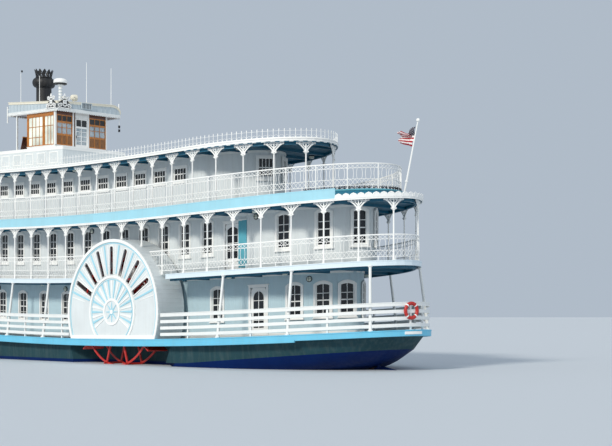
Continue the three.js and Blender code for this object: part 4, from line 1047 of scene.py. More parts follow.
def build_main_rail():
    parts = {"aft": Shape(), "fore": Shape()}
    path = Path(GUARD, MAIN_RAIL_INSET)
    free = BOX_RADIUS + 0.04
    sections = [rect(-0.055, 0.012, GUARD_TOP + MAIN_RAIL_TOP, GUARD_TOP + MAIN_RAIL_TOP + 0.03)]
    for z in (GUARD_TOP + MAIN_RAIL_FIRST + MAIN_RAIL_PITCH * i for i in range(4)):
        top = z + MAIN_RAIL_HIGH
        sections.append([(-0.035, z), (-0.035, top), (-0.006, top), (0, top - 0.006), (0, z + 0.006),
                         (-0.006, z)])
    for run, part in zip(side_runs(path, WHEEL_AT - free, WHEEL_AT + free), ("fore", "aft", "fore")):
        for section in sections:
            band(parts[part], path, section, *run)
    inner = Path(GUARD, MAIN_RAIL_INSET + MAIN_RAIL_THICK)
    middle = Path(GUARD, MAIN_RAIL_INSET + MAIN_RAIL_THICK / 2)
    edge = Path(SECOND, 0.06)
    part_at = lambda x: parts["aft" if x + MIDSHIPS < WHEEL_AT else "fore"]
    for side in (1, -1):
        for distance in MAIN_POSTS:
            x = inner.at(distance)[0]
            if distance < inner.length - 0.1 and abs(x + MIDSHIPS - WHEEL_AT) > free:
                block(part_at(x), inner.spot(side * distance), (-0.04, 0.04),
                      (GUARD_TOP, GUARD_TOP + 1.09), (-0.07, 0.0))
        for distance in STANCHIONS:
            x, y, outward, _ = middle.at(side * distance)
            head_s = min(x + MIDSHIPS - STANCHION_LEAN * outward, STANCHION_FORE)
            hx, hy, _, _ = edge.at(side * edge.near(head_s))
            part = part_at(x)
            part.rod((x, y, GUARD_TOP), (hx, hy, SECOND_BOTTOM), 0.07, 12, 0.056)
            part.turned([(0.11, 0), (0.11, 0.04), (0.075, 0.07)], x, y, foot=GUARD_TOP)
            part.turned([(0.06, -0.09), (0.1, -0.05), (0.1, 0)], hx, hy, foot=SECOND_BOTTOM)
    for part in ("aft", "fore"):
        make(f"main_deck_rail_{part}", parts[part], [WHITE], smooth=35,
             replaces=both(f"main_rail_{part}"))


# Fascias, crests and beams
BOARD_START = 2.66
ARCH_PITCH, ARCH_HIGH = 0.3, 0.2
ARCH_FOOT = 6.985
PICKET_PITCH, PICKET_HIGH = 0.235, 0.41


def pointed_arch(half, high):
    """Outline of one pointed arch, from its left foot over the point to its right foot"""
    rise = [(0.0, 0.0), (0.0, 0.45), (0.12, 0.66), (0.38, 0.82), (0.72, 0.9), (1.0, 1.0)]
    left = [(-half + half * a, high * b) for a, b in rise]
    return left + [(-u, v) for u, v in reversed(left[:-1])]

def build_fascias():
    shape, second, notch = Shape(), Path(SECOND), BOX_RADIUS + 0.02
    boards_round(shape, second, ((-0.05, -0.014, SECOND_BOTTOM - 0.03, SECOND_TOP, 0),
                                 (-0.07, 0.0, SECOND_TOP - 0.025, SECOND_TOP + 0.012, 0),
                                 (-0.06, -0.004, SECOND_BOTTOM - 0.035, SECOND_BOTTOM - 0.005, 0)),
                 side_runs(second, WHEEL_AT - notch, WHEEL_AT + notch))
    make("second_deck_fascia", shape, [FASCIA_WHITE], "board_paint")
    roof, path, crest = Shape(), Path(ROOF2), Path(ROOF2, 0.012)
    ends = crest.near(BOARD_START)
    boards_round(roof, path, ((-0.05, -0.016, ROOF2_BOTTOM - 0.02, ARCH_FOOT, 0),
                              (-0.05, 0.0, ARCH_FOOT - 0.02, ARCH_FOOT + 0.012, 0),
                              (-0.06, -0.004, ROOF2_BOTTOM - 0.03, ROOF2_BOTTOM, 0)))
    band(roof, path, rect(-0.06, -0.025, ARCH_FOOT, ROOF2_TOP + 0.01), -ends, ends, mark=1)
    count = round(2 * ends / ARCH_PITCH)
    outer = pointed_arch(ends / count, ARCH_HIGH)
    inner = [(u * 0.72, max(0.012, v * 0.82)) for u, v in outer]
    for i in range(count):
        lifted = raised(crest.spot(-ends + (i + 0.5) * 2 * ends / count), ARCH_FOOT)
        roof.plate(outer, lifted, 0.012)
        ribbon(roof, inner, moved(lifted, 0.008), 0.016, 0.012)
    make("roof_moulding_and_crest", roof, [TRIM_WHITE, TEAL])

    blue, board = Shape(), Path(ROOF2, 0.03)
    start = board.near(BOARD_START)
    boards_round(blue, board, ((-0.035, 0.008, ARCH_FOOT + 0.01, THIRD_TOP - 0.03, 0),
                               (-0.05, 0.015, THIRD_TOP - 0.045, THIRD_TOP, 0)),
                 ((-board.length, -start), (start, board.length)))
    make("third_deck_blue_board", blue, [PALE_BLUE], "board_paint")
    stern, third = Shape(), Path(THIRD)
    reach = third.near(4.2)
    boards_round(stern, third, ((-0.06, -0.02, ROOF2_TOP, THIRD_TOP - 0.05, 0),
                                (-0.05, 0.0, THIRD_TOP - 0.05, THIRD_TOP + 0.01, 1)), ((-reach, reach),))
    make("third_deck_stern_fascia", stern, [TEAL, TURQUOISE], "board_paint")


def build_roof_crest():
    shape, line = Shape(), Path(ROOF3, 0.055)
    ends = line.length
    boards_round(shape, Path(ROOF3), ((-0.05, -0.016, ROOF3_BOTTOM + 0.03, ROOF3_TOP, 0),
                                      (-0.07, 0.0, ROOF3_TOP - 0.035, ROOF3_TOP, 0),
                                      (-0.06, -0.03, ROOF3_BOTTOM - 0.01, ROOF3_BOTTOM + 0.03, 1)))
    boards_round(shape, line, ((-0.018, 0.018, ROOF3_TOP, ROOF3_TOP + 0.035, 0),
                               (-0.006, 0.006, ROOF3_TOP + 0.3, ROOF3_TOP + 0.31, 0)))
    picket = mirrored([(0.01, 0.02), (0.01, 0.31), (0.022, 0.33), (0.012, 0.35), (0.02, 0.375),
                       (0.0, PICKET_HIGH)])
    scallop = arc(PICKET_PITCH / 2, 0.03, PICKET_PITCH / 2 - 0.012, 0, 180, 7)
    count = round(2 * ends / PICKET_PITCH)
    for i in range(count):
        lifted = raised(line.spot(-ends + (i + 0.5) * 2 * ends / count), ROOF3_TOP)
        shape.plate(picket, lifted, 0.014)
        ribbon(shape, scallop, lifted, 0.009, 0.008)
    make("top_roof_crest", shape, [TRIM_WHITE, SOFFIT_PAINT], replaces=both("roof_crest"))


def build_beams():
    """Cross beams under the decks and a fore and aft beam along each edge"""
    shape = Shape()
    for plan, low, first, last, inset in ((SECOND, SECOND_BOTTOM, 1.4, 33.8, 0.3),
                                          (ROOF2, ROOF2_BOTTOM, 1.4, 33.0, 0.3),
                                          (ROOF3, ROOF3_BOTTOM, 6.2, 30.2, 0.2)):
        edge = Path(plan, inset)
        for s in np.arange(first, last, 1.4125):
            y = edge.at(edge.near(s))[1]
            if plan is SECOND and abs(s - WHEEL_AT) < BOX_RADIUS + 0.1:
                y = min(y, 2.86)
            x = s - MIDSHIPS
            shape.box((x - 0.04, -y, low - 0.11), (x + 0.04, y, low))
        runs = side_runs(edge, WHEEL_AT - 3.3, WHEEL_AT + 3.3) if plan is SECOND else ((None, None),)
        boards_round(shape, edge, ((-0.05, 0.05, low - 0.12, low, 0),), runs)
    make("deck_beams", shape, [SOFFIT_PAINT], "board_paint")


# Keel, guard and foredeck
KEEL_HALF, KEEL_BOTTOM, SHOE_TOP, KEEL_INSIDE = 0.09, -1.35, -1.21, -1.0


def build_keel():
    """Keel bar, the skeg up to the counter and the shoe under the rudder, in one centre plate"""
    outline = [(2.76, 0.3), (2.76, SHOE_TOP), (2.15, SHOE_TOP), (2.15, KEEL_BOTTOM), (8.0, KEEL_BOTTOM)]
    outline += [(s, KEEL_BOTTOM) for s in (*np.arange(10.0, 34.0, 3.0), 35.4)] + [(36.3, KEEL_INSIDE)]
    outline += [(s, KEEL_INSIDE + 0.02) for s in np.arange(34.0, 8.0, -3.0)] + [(5.0, 0.3)]
    shape = Shape()
    shape.plate([(s - MIDSHIPS, z) for s, z in outline], lambda u, v, w: (u, w, v), 2 * KEEL_HALF)
    make("keel_and_skeg", shape, [BOTTOM], "hull_paint", sheer=False)


def build_guard_details():
    shape, edge = Shape(), Path(GUARD)
    ahead = edge.near(3.93)
    low, high = GUARD_BOTTOM - 0.07, GUARD_BOTTOM + 0.04
    section = [(-0.09, low), (-0.09, high), (-0.015, high), (0.0, high - 0.015), (0.0, low + 0.015),
               (-0.015, low)]
    for start, end in ((-edge.length, -ahead), (ahead, edge.length)):
        band(shape, edge, section, start, end)
    make("rubbing_strake", shape, [GUARD_BLUE], "guard_paint")
    blank = Shape()
    band(blank, edge, rect(-0.04, -0.01, 1.485, 1.6), -0.12, 0.78, 0.1)
    make("stern_plate", blank, [TRIM_WHITE])


CAPSTAN_X, BITTS_X, BITTS_Y = 15.2, 16.9, 0.3
CAPSTAN_PROFILE = ((0.36, 0), (0.36, 0.08), (0.33, 0.1), (0.25, 0.14), (0.22, 0.18), (0.19, 0.4),
                   (0.2, 0.62), (0.25, 0.7), (0.29, 0.74), (0.3, 0.77), (0.3, 0.84), (0.27, 0.86))
BITT_PROFILE = ((0.15, 0), (0.15, 0.02), (0.11, 0.03), (0.11, 0.65), (0.13, 0.66), (0.13, 0.69),
                (0.11, 0.7))


def build_foredeck_gear():
    shape, bitts = Shape(), Shape()
    shape.turned(CAPSTAN_PROFILE, CAPSTAN_X, 0, 32, foot=GUARD_TOP)
    for c, s in circle(8):
        spot = raised(plane((CAPSTAN_X + 0.2 * c, 0.2 * s), (-s, c), (c, s)), GUARD_TOP)
        block(shape, spot, (-0.022, 0.022), (0.18, 0.66), (-0.03, 0.03))
        block(shape, spot, (-0.03, 0.03), (0.78, 0.83), (0.05, 0.102), 1)
    make("capstan_ironwork", shape, [IRON, BLACK], "iron", ["capstan"], smooth=40)
    for side in (1, -1):
        bitts.turned(BITT_PROFILE, BITTS_X, side * BITTS_Y, 20, foot=GUARD_TOP)
    bitts.rod((BITTS_X, -0.48, GUARD_TOP + 0.43), (BITTS_X, 0.48, GUARD_TOP + 0.43), 0.045, 16)
    make("bitts_ironwork", bitts, [IRON], "iron", ["bow_bitts"], smooth=40)


# Paddle boxes. Their outer faces are planes in which 0 across is over the wheel's shaft.
WHEEL_X = WHEEL_AT - MIDSHIPS
FACE_IN = 0.045
SLOT_TURN, SLOT_COUNT, SLOT_HALF, SLOT_LOW, SLOT_HIGH = 0.36, 7, 0.13, 1.675, 2.925
SHAFT_HOLE = 0.14
BOX_DROP = BOX_CENTRE - GUARD_TOP


def foot_angle(radius):
    """How far below level, in degrees, a circle of that radius meets the deck"""
    return math.degrees(math.asin(min(1.0, BOX_DROP / radius)))


def arch_ring(shape, spot, inner, outer, w, mark=0, parts=56):
    """A flat arch about the wheel's middle, down to the deck, between two radii"""
    low = foot_angle((inner + outer) / 2)
    sections = []
    for t in np.radians(np.linspace(-low, 180 + low, parts + 1)):
        sections.append([spot(r * math.cos(t), max(GUARD_TOP, BOX_CENTRE + r * math.sin(t)), out)
                         for r, out in ((inner, w[0]), (outer, w[0]), (outer, w[1]), (inner, w[1]))])
    shape.loft(sections, mark)


def slot_angles():
    half = (SLOT_COUNT - 1) / 2
    return [90 + math.degrees(SLOT_TURN) * (i - half) for i in range(SLOT_COUNT)]


def fan_panel(first, last):
    """Outline between two slots at those angles. None stands for the deck."""
    def at(angle, radius, side):
        if angle is None:
            return -foot_angle(radius) if side < 0 else 180 + foot_angle(radius)
        return angle - side * math.degrees(math.asin(SLOT_HALF / radius))
    low = arc(0, BOX_CENTRE, SLOT_LOW, at(first, SLOT_LOW, -1), at(last, SLOT_LOW, 1), 6)
    high = arc(0, BOX_CENTRE, SLOT_HIGH, at(first, SLOT_HIGH, -1), at(last, SLOT_HIGH, 1), 6)
    return low + high[::-1]


def radial(shape, spot, angle, low, high, wide, w, mark=0, end_wide=None):
    c, z = polar(angle)
    ribbon(shape, [(r * c, BOX_CENTRE + r * z) for r in (low, high)], moved(spot, (w[0] + w[1]) / 2),
           wide, w[1] - w[0], mark, end_wide=end_wide)


def box_rim(shape, spot):
    """The curved roof of the box, in boards that run in from the face"""
    low = foot_angle(BOX_RADIUS)
    stations = []
    for i, t in enumerate(np.linspace(-low, 180 + low, 65)):
        stations += [(t - 0.12, 0.0), (t, GROOVE_DEEP), (t + 0.12, 0.0)] if 0 < i < 64 else [(t, 0.0)]
    sections = []
    for t, sunk in stations:
        c, z = polar(t)
        sections.append([spot(r * c, max(GUARD_TOP, BOX_CENTRE + r * z), w) for r, w in (
            (BOX_RADIUS - WALL, BOX_IN - BOX_OUT), (BOX_RADIUS - sunk, BOX_IN - BOX_OUT),
            (BOX_RADIUS - sunk, -0.02), (BOX_RADIUS - WALL, -0.02))])
    shape.loft(sections)


def slot_frame(shape, spot, angle):
    c, z = polar(angle)
    edge = SLOT_HALF + 0.01
    corners = [(SLOT_LOW, -edge), (SLOT_LOW, edge), (SLOT_HIGH - 0.05, edge),
               (SLOT_HIGH + 0.02, edge * 0.6), (SLOT_HIGH + 0.05, 0), (SLOT_HIGH + 0.02, -edge * 0.6),
               (SLOT_HIGH - 0.05, -edge)]
    ribbon(shape, [(r * c - q * z, BOX_CENTRE + r * z + q * c) for r, q in corners], moved(spot, -0.028),
           0.045, 0.04, 1, closed=True)


ARCHES = (  # inner and outer radius, how far out, mark
    (BOX_RADIUS - 0.13, BOX_RADIUS, 0.004, 1), (3.06, 3.1, -0.025, 2), (1.53, 1.63, -0.01, 1),
    (1.44, 1.475, -0.025, 2), (0.5, 0.6, -0.005, 1),
)


def build_paddle_boxes():
    for side, word in SIDES:
        shape = Shape()
        spot = plane((WHEEL_X, side * BOX_OUT), (1, 0), (0, side))
        boards_in = (-0.095, -FACE_IN)
        middle = moved(spot, sum(boards_in) / 2)
        low = foot_angle(SLOT_LOW)
        shape.plate(arc(0, BOX_CENTRE, SLOT_LOW, -low, 180 + low, 40), middle, 0.05)
        angles = slot_angles()
        for first, last in zip([None, *angles], [*angles, None]):
            shape.plate(fan_panel(first, last), middle, 0.05)
        arch_ring(shape, spot, SLOT_HIGH, BOX_RADIUS - 0.03, boards_in)
        box_rim(shape, spot)
        for inner, outer, out, mark in ARCHES:
            arch_ring(shape, spot, inner, outer, (-0.06, out), mark)
        for angle in angles:
            slot_frame(shape, spot, angle)
        pitch = math.degrees(SLOT_TURN)
        for angle in (a - pitch / 2 for a in (*angles, angles[-1] + pitch)):
            radial(shape, spot, angle, SLOT_LOW + 0.05, SLOT_HIGH + 0.08, 0.05, (-0.05, -0.02), 2, 0.09)
            for turn in (-4.5, 4.5):
                radial(shape, spot, angle + turn, SLOT_LOW + 0.35, SLOT_HIGH + 0.08, 0.02, (-0.05, -0.03),
                       1, 0.04)
        for i in range(25):
            radial(shape, spot, -30 + 10 * i, 0.62, 1.42, 0.03, (-0.05, -0.018), 2 if i % 2 else 1, 0.1)
        for i in range(8):
            radial(shape, spot, 45 * i, 0.06, 0.44, 0.07, (-0.05, -0.02), 2, 0.012)
        shape.plate(arc(0, BOX_CENTRE, 0.1, 0, 342, 19), moved(spot, -0.03), 0.05, 1)
        reach = math.sqrt(BOX_RADIUS**2 - BOX_DROP**2) - 0.02
        block(shape, spot, (-reach, reach), (GUARD_TOP, GUARD_TOP + 0.16), (-0.06, -0.004), 1)
        outline, hole = [], []
        for c, z in circle(72):
            radius = min(BOX_RADIUS - WALL / 2, BOX_DROP / -z if z < -0.01 else BOX_RADIUS)
            outline.append((radius * c, BOX_CENTRE + radius * z))
            hole.append((SHAFT_HOLE * c, BOX_CENTRE + SHAFT_HOLE * z))
        shape.ring_plate(outline, hole, moved(spot, BOX_IN - BOX_OUT + WALL / 2), WALL)
        make(f"{word}_paddle_box_boards", shape, [WALL_WHITE, TRIM_WHITE, PALE_BLUE],
             replaces=[f"{word}_paddle_box"])


# Paddle wheels: iron frames and wooden floats, each float in three boards
WHEEL_IN, WHEEL_OUT, FLOATS = 3.12, 4.23, 10
FLOAT_BOARDS = ((2.385, 2.55), (2.56, 2.725), (2.735, 2.895))
HUB_BOLT_TURN = 0.3 / (2 * math.pi) * FLOATS


def build_wheels():
    for side, word in SIDES:
        shape = Shape()
        spot = raised(plane((WHEEL_X, 0.0), (1, 0), (0, side)), WHEEL_Z)
        shape.rod(spot(0, 0, 2.75), spot(0, 0, WHEEL_OUT), 0.11, 20, mark=1)
        for out in (WHEEL_IN + 0.15, WHEEL_OUT - 0.15):
            frame_spot = moved(spot, out)
            for radius, wide, thick in ((2.4, 0.09, 0.04), (1.5, 0.06, 0.03)):
                ribbon(shape, arc(0, 0, radius, 0, 354, 59), frame_spot, wide, thick, 0, closed=True)
            for reach, radius, sides in ((0.06, 0.33, 32), (0.1, 0.19, 24)):
                shape.rod(spot(0, 0, out - reach), spot(0, 0, out + reach), radius, sides, mark=1)
            for (c, z), (bolt_u, bolt_v) in zip(circle(FLOATS), circle(FLOATS, HUB_BOLT_TURN)):
                ribbon(shape, [(0.2 * c, 0.2 * z), (2.84 * c, 2.84 * z)], frame_spot, 0.12, 0.06, 0,
                       end_wide=0.08)
                bolt = (0.27 * bolt_u, 0.27 * bolt_v)
                shape.rod(spot(*bolt, out - 0.075), spot(*bolt, out + 0.075), 0.022, 6, mark=1)
        for c, z in circle(FLOATS):
            for low, high in FLOAT_BOARDS:
                ribbon(shape, [(low * c, low * z), (high * c, high * z)],
                       moved(spot, (WHEEL_IN + WHEEL_OUT) / 2), 0.055, WHEEL_OUT - WHEEL_IN, 2)
                u, v = (low + high) / 2 * c, (low + high) / 2 * z
                for out in (WHEEL_IN + 0.15, WHEEL_OUT - 0.15):
                    shape.rod(spot(u - 0.045 * z, v + 0.045 * c, out),
                              spot(u + 0.045 * z, v - 0.045 * c, out), 0.02, 6, mark=1)
        make(f"{word}_wheel_frames_and_floats", shape, [RED, IRON, RED], "red_paint",
             [f"{word}_paddle_wheel"], f"{word}_wheel", sheer=False, smooth=35)


def build_bearings():
    top, low, thick = BOX_CENTRE - 0.19, GUARD_TOP, 0.2
    foot = mirrored([(0.26, low), (0.26, low + 0.06), (0.2, low + 0.09), (0.15, top - 0.2), (0.2, top)])
    for side, word in SIDES:
        shape = Shape()
        spot = plane((WHEEL_X, side * 2.8225), (1, 0), (0, side))
        shape.plate(foot, spot, thick)
        shape.ring_plate(*(arc(0, BOX_CENTRE, radius, 0, 350, 35) for radius in (0.225, 0.117)), spot,
                         thick)
        for u in ((-0.26, -0.2), (0.2, 0.26)):
            block(shape, spot, u, (BOX_CENTRE - 0.06, BOX_CENTRE + 0.06), (-0.07, 0.07))
        make(f"{word}_bearing_casting", shape, [IRON], "iron", [f"{word}_shaft_bearing"], smooth=35)


# Pilothouse. Its faces are upright planes; across is x on the sides and y on the aft and front faces.
TEXAS_AFT, TEXAS_FORE, TEXAS_HALF = 21.5, 27.3, 2.0
PILOT_AFT, PILOT_FORE, PILOT_HALF = 22.6, 25.1, 1.62
PILOT_SILL, PILOT_HEAD, PILOT_DADO = 11.3, 12.85, 11.84
PILOT_DOOR_HALF, PILOT_DOOR_HEAD = 0.38, 12.74
# Marks of the pilothouse joinery: white paint, varnished wood, dark brown, opaque pale glass with a
# painted sky reflection, clear glass, dark glass that paints the shade under the roof, and panel wood
PILOT_WHITE, PILOT_WOOD, PILOT_BROWN, PILOT_PANE, PILOT_CLEAR, PILOT_SHADE_PANE, PILOT_PANEL = range(7)
PILOT_TRANSOM = 12.48
LIGHT_FRAME, LIGHT_BAR = 0.05, 0.028

PILOT_WALL_IN = -0.07


def lights(shape, spot, u, v, columns, bars, pane):
    """A wooden frame of lights, columns wide, with level bars at the heights in bars"""
    (u0, u1), (v0, v1) = u, v
    inner, within = (u0 + LIGHT_FRAME, u1 - LIGHT_FRAME), (v0 + LIGHT_FRAME, v1 - LIGHT_FRAME)
    half = LIGHT_BAR / 2
    rows = [(u, ends, (-0.062, 0.0), PILOT_WOOD) for ends in ((v0, within[0]), (within[1], v1))]
    rows += [(ends, within, (-0.062, -0.002), PILOT_WOOD) for ends in ((u0, inner[0]), (inner[1], u1))]
    rows.append((inner, within, (-0.04, -0.034), pane))
    for i in range(1, columns):
        middle = inner[0] + (inner[1] - inner[0]) * i / columns
        rows.append(((middle - half, middle + half), within, (-0.05, -0.014), PILOT_WOOD))
    rows += [(inner, (height - half, height + half), (-0.05, -0.016), PILOT_WOOD) for height in bars]
    for across, up, out, mark in rows:
        block(shape, spot, across, up, out, mark)


def sunk_panels(shape, spot, u, v, count):
    """Boarded panels between raised stiles"""
    (u0, u1), (v0, v1) = u, v
    parts = 4 * count
    for i in range(parts):
        ends = (u0 + (u1 - u0) * i / parts, u0 + (u1 - u0) * (i + 1) / parts - 0.008)
        block(shape, spot, ends, v, (-0.05, -0.02), PILOT_PANEL)
    block(shape, spot, u, v, (-0.06, -0.03), PILOT_BROWN)
    for i in range(count + 1):
        middle = u0 + 0.02 + (u1 - u0 - 0.04) * i / count
        block(shape, spot, (middle - 0.02, middle + 0.02), v, (-0.03, -0.004), PILOT_WOOD)
    for low, high in ((v0, v0 + 0.06), (v1 - 0.05, v1)):
        block(shape, spot, u, (low, high), (-0.03, -0.002), PILOT_WOOD)


def build_pilot_walls():
    aft, fore, half = PILOT_AFT - MIDSHIPS, PILOT_FORE - MIDSHIPS, PILOT_HALF
    low, sill, head, top = TEXAS_TOP, PILOT_SILL, PILOT_HEAD, PILOT_ROOF_BOTTOM
    walls = {word: Shape() for word in ("port", "starboard", "aft", "front")}
    split = 23.6 - MIDSHIPS

    def fill(word, spot, rows):
        for u, v, out, mark in rows:
            block(walls[word], spot, tuple(sorted(u)), v, (PILOT_WALL_IN, out), mark)

    for side, word in SIDES:
        spot = plane((0.0, side * half), (1, 0), (0, side))
        fill(word, spot, (((aft + 0.001, fore), (low, sill), 0.012, PILOT_WHITE),
                          ((aft + 0.001, fore), (sill - 0.03, sill), 0.03, PILOT_WHITE),
                          ((aft + 0.001, aft + 0.13), (sill, top), 0.01, PILOT_WHITE),
                          ((split, split + 0.09), (sill, head), 0.012, PILOT_WOOD),
                          ((fore - 0.08, fore), (sill, top), 0.012, PILOT_WOOD),
                          ((aft + 0.13, fore - 0.08), (head, top), 0.004, PILOT_WOOD)))
        # Port panes are opaque pale glass, a painted sky reflection; starboard panes are clear
        for u, columns, bars in (((aft + 0.13, split), 3, [12.3]),
                                 ((split + 0.09, fore - 0.08), 4, [11.76, 12.3])):
            lights(walls[word], spot, u, (sill, head), columns, bars,
                   PILOT_PANE if side > 0 else PILOT_CLEAR)
    spot = plane((aft, 0.0), (0, 1), (-1, 0))
    edge, start = half - 0.072, PILOT_DOOR_HALF + 0.004
    for turn, jamb in ((1, start + 0.1), (-1, start)):
        post = jamb + 0.085
        # A dark brown jamb set in beside the doorway on the port half paints the shadow in the doorway;
        # on both halves the dark brown band over the lights paints the shade under the roof
        fill("aft", spot, [((turn * a, turn * b), v, out, mark) for a, b, v, out, mark in (
            (start, edge, (low, sill), 0.0, PILOT_WHITE),
            (start, edge, (sill - 0.03, sill), 0.012, PILOT_WHITE),
            (start, jamb, (sill, top), -0.04, PILOT_BROWN), (jamb, post, (sill, top), 0.012, PILOT_WHITE),
            (post, edge, (head, top), 0.0, PILOT_BROWN)) if a < b])
        span = tuple(sorted((turn * post, turn * edge)))
        sunk_panels(walls["aft"], spot, span, (sill, PILOT_DADO), 3)
        lights(walls["aft"], spot, span, (PILOT_DADO, PILOT_TRANSOM), 3, [12.2], PILOT_CLEAR)
        # The top row of lights is dark glass, painted shade under the roof
        lights(walls["aft"], spot, span, (PILOT_TRANSOM, head), 3, [], PILOT_SHADE_PANE)
    fill("aft", spot, [((-start, start), (PILOT_DOOR_HEAD + 0.01, top), 0.0, PILOT_WHITE)])
    spot = plane((fore, 0.0), (0, 1), (1, 0))
    fill("front", spot,
         [((-edge, edge), (low, sill), 0.0, PILOT_WHITE), ((-edge, edge), (head, top), 0.0, PILOT_WOOD)])
    fill("front", spot, [(u, (sill, head), 0.0, PILOT_WOOD)
                         for u in ((-edge, -1.53), (-0.53, -0.5), (0.5, 0.53), (1.53, edge))])
    for middle in (-1.03, 0, 1.03):
        lights(walls["front"], spot, (middle - 0.5, middle + 0.5), (sill, head), 2, [12.3], PILOT_CLEAR)
    for word, shape in walls.items():
        make(f"pilothouse_{word}_joinery", shape,
             [WHITE, WOOD, BROWN, PALE_GLASS, CLEAR_GLASS, GLASS, PANEL_WOOD],
             "varnished_wood", [f"pilothouse_{word}_wall"])
    leaf = Shape()
    spot = plane((aft, 0.0), (0, 1), (-1, 0))
    wide = PILOT_DOOR_HALF
    # The leaf's top row of lights is dark glass, painted shade under the roof
    lights(leaf, spot, (-wide, wide), (12.3, PILOT_DOOR_HEAD), 2, [], PILOT_SHADE_PANE)
    lights(leaf, spot, (-wide, wide), (11.36, 12.3), 2, [11.6, 11.84, 12.08], PILOT_CLEAR)
    block(leaf, spot, (-wide, wide), (TEXAS_TOP + 0.02, 11.36), (-0.058, -0.004))
    block(leaf, spot, (wide - 0.06, wide - 0.035), (11.72, 11.86), (-0.01, 0.012), PILOT_BROWN)
    leaf.rod(spot(wide - 0.048, 11.8, 0.0), spot(wide - 0.048, 11.8, 0.05), 0.02, 12, mark=PILOT_BROWN)
    make("pilothouse_door_leaf", leaf, [TRIM_WHITE, TRIM_WHITE, IRON, PALE_GLASS, CLEAR_GLASS, GLASS],
         "white_paint", ["pilothouse_door"], "pilothouse_leaf")


def rounded(x0, x1, y0, y1, inset=0.0, radius=0.08, parts=1):
    """Outline of a roof with rounded corners, its long sides in parts"""
    turns = []
    for cx, cy, sx, sy, start in ((x0, y0, 1, 1, 180), (x1, y0, -1, 1, 270), (x1, y1, -1, -1, 0),
                                  (x0, y1, 1, -1, 90)):
        turns.append(arc(cx + sx * radius, cy + sy * radius, radius - inset, start, start + 90, 6))
    corners = []
    for turn, after in zip(turns, turns[1:] + turns[:1]):
        a, b = np.array(turn[-1]), np.array(after[0])
        corners += turn + [tuple(a + (b - a) * i / parts) for i in range(1, parts)]
    return corners


def walled(shape, outer, inner, low, high, mark=0):
    """An upright ring between two outlines. low and high are heights, or functions of a point."""
    level = lambda height, point: height(point) if callable(height) else height
    shape.loft([[(*i, level(low, o)), (*o, level(low, o)), (*o, level(high, o)), (*i, level(high, o))]
                for o, i in zip(outer, inner)], mark, closed=True)


ROOF_AFT, ROOF_FORE, ROOF_STARBOARD, ROOF_PORT = 22.311, 26.743, -2.35, 1.735
PARAPET_HIGH, PARAPET_CAP, PARAPET_RISE_ACROSS, PARAPET_RISE_FORWARD = 0.34, 0.13, 0.05, 0.057
SWEEP_START, SWEEP_LOW = -1.72, 0.07
VALANCE_PITCH, VALANCE_DEEP = 0.11, 0.075


def around(outline, pitch):
    """Places every pitch round an outline: point, direction along it and outward normal"""
    points = [np.array(p) for p in outline]
    spots, left = [], pitch / 2
    for a, b in zip(points, points[1:] + points[:1]):
        length = float(np.linalg.norm(b - a))
        if length < 1e-6:
            continue
        along = (b - a) / length
        while left < length:
            spots.append((a + along * left, along, np.array([along[1], -along[0]])))
            left += pitch
        left -= length
    return spots


def parapet_height(point):
    """The parapet rises away from the aft port corner and sweeps down at the starboard end."""
    x, y = point
    high = PARAPET_HIGH + PARAPET_RISE_ACROSS * (ROOF_PORT - y)
    high += PARAPET_RISE_FORWARD * (x - ROOF_AFT + MIDSHIPS)
    past = min(1.0, max(0.0, (SWEEP_START - y) / (SWEEP_START - ROOF_STARBOARD)))
    return SWEEP_LOW + (high - SWEEP_LOW) * math.sqrt(1 - past * past)


def build_pilot_roof():
    low, high = PILOT_ROOF_BOTTOM, PILOT_ROOF_TOP
    ends = (ROOF_AFT - MIDSHIPS, ROOF_FORE - MIDSHIPS, ROOF_STARBOARD, ROOF_PORT)
    outline = lambda inset: rounded(*ends, inset, parts=48)
    top = lambda point: high + parapet_height(point)
    foot = lambda point: max(high + 0.02, top(point) - PARAPET_CAP)
    shape = Shape()
    for z0, z1, inset, mark in ((low, low + 0.03, 0.03, 2), (low + 0.03, high, 0.02, 0)):
        shape.loft([[(*p, z) for p in outline(inset)] for z in (z0, z1)], mark)
    # The parapet's cap boards are cream, painted sunlight on white paint; its recessed lower band and the
    # battens are pale blue-grey, painted shade under the cap
    for outer, inner, z0, z1, mark in (
            (0.008, 0.05, low - 0.01, high, 0), (0.0, 0.06, high - 0.03, high + 0.015, 0),
            (0.045, 0.07, high + 0.01, foot, 3), (0.02, 0.075, foot, top, 1),
            (0.0, 0.08, lambda point: top(point) - 0.03, top, 1),
            (0.012, 0.06, foot, lambda point: foot(point) + 0.02, 1)):
        walled(shape, outline(outer), outline(inner), z0, z1, mark)
    for place, along, normal in around(outline(0.04), 0.3):
        cap = high + max(0.03, parapet_height(place) - PARAPET_CAP)
        block(shape, plane(place, along, normal), (-0.014, 0.014), (high + 0.012, cap),
              (-0.005, 0.012), 3)
    drop = mirrored([(0, -1.0), (0.16, -0.9), (0.36, -0.66), (0.5, -0.25), (0.5, 0.0)])
    drop = [(u * VALANCE_PITCH * 0.94, low + v * VALANCE_DEEP) for u, v in drop]
    for row in around(outline(0.03), VALANCE_PITCH):
        shape.plate(drop, plane(*row), 0.014)
    make("pilothouse_roof_and_parapet", shape, [WHITE, CREAM, BROWN, ROOF_GREY],
         replaces=["pilothouse_roof"])


SCROLL_SHADE_PLATE = ((0.44, 0.0), (0.4, 0.2), (0.16, 0.42), (0.0, 0.5))


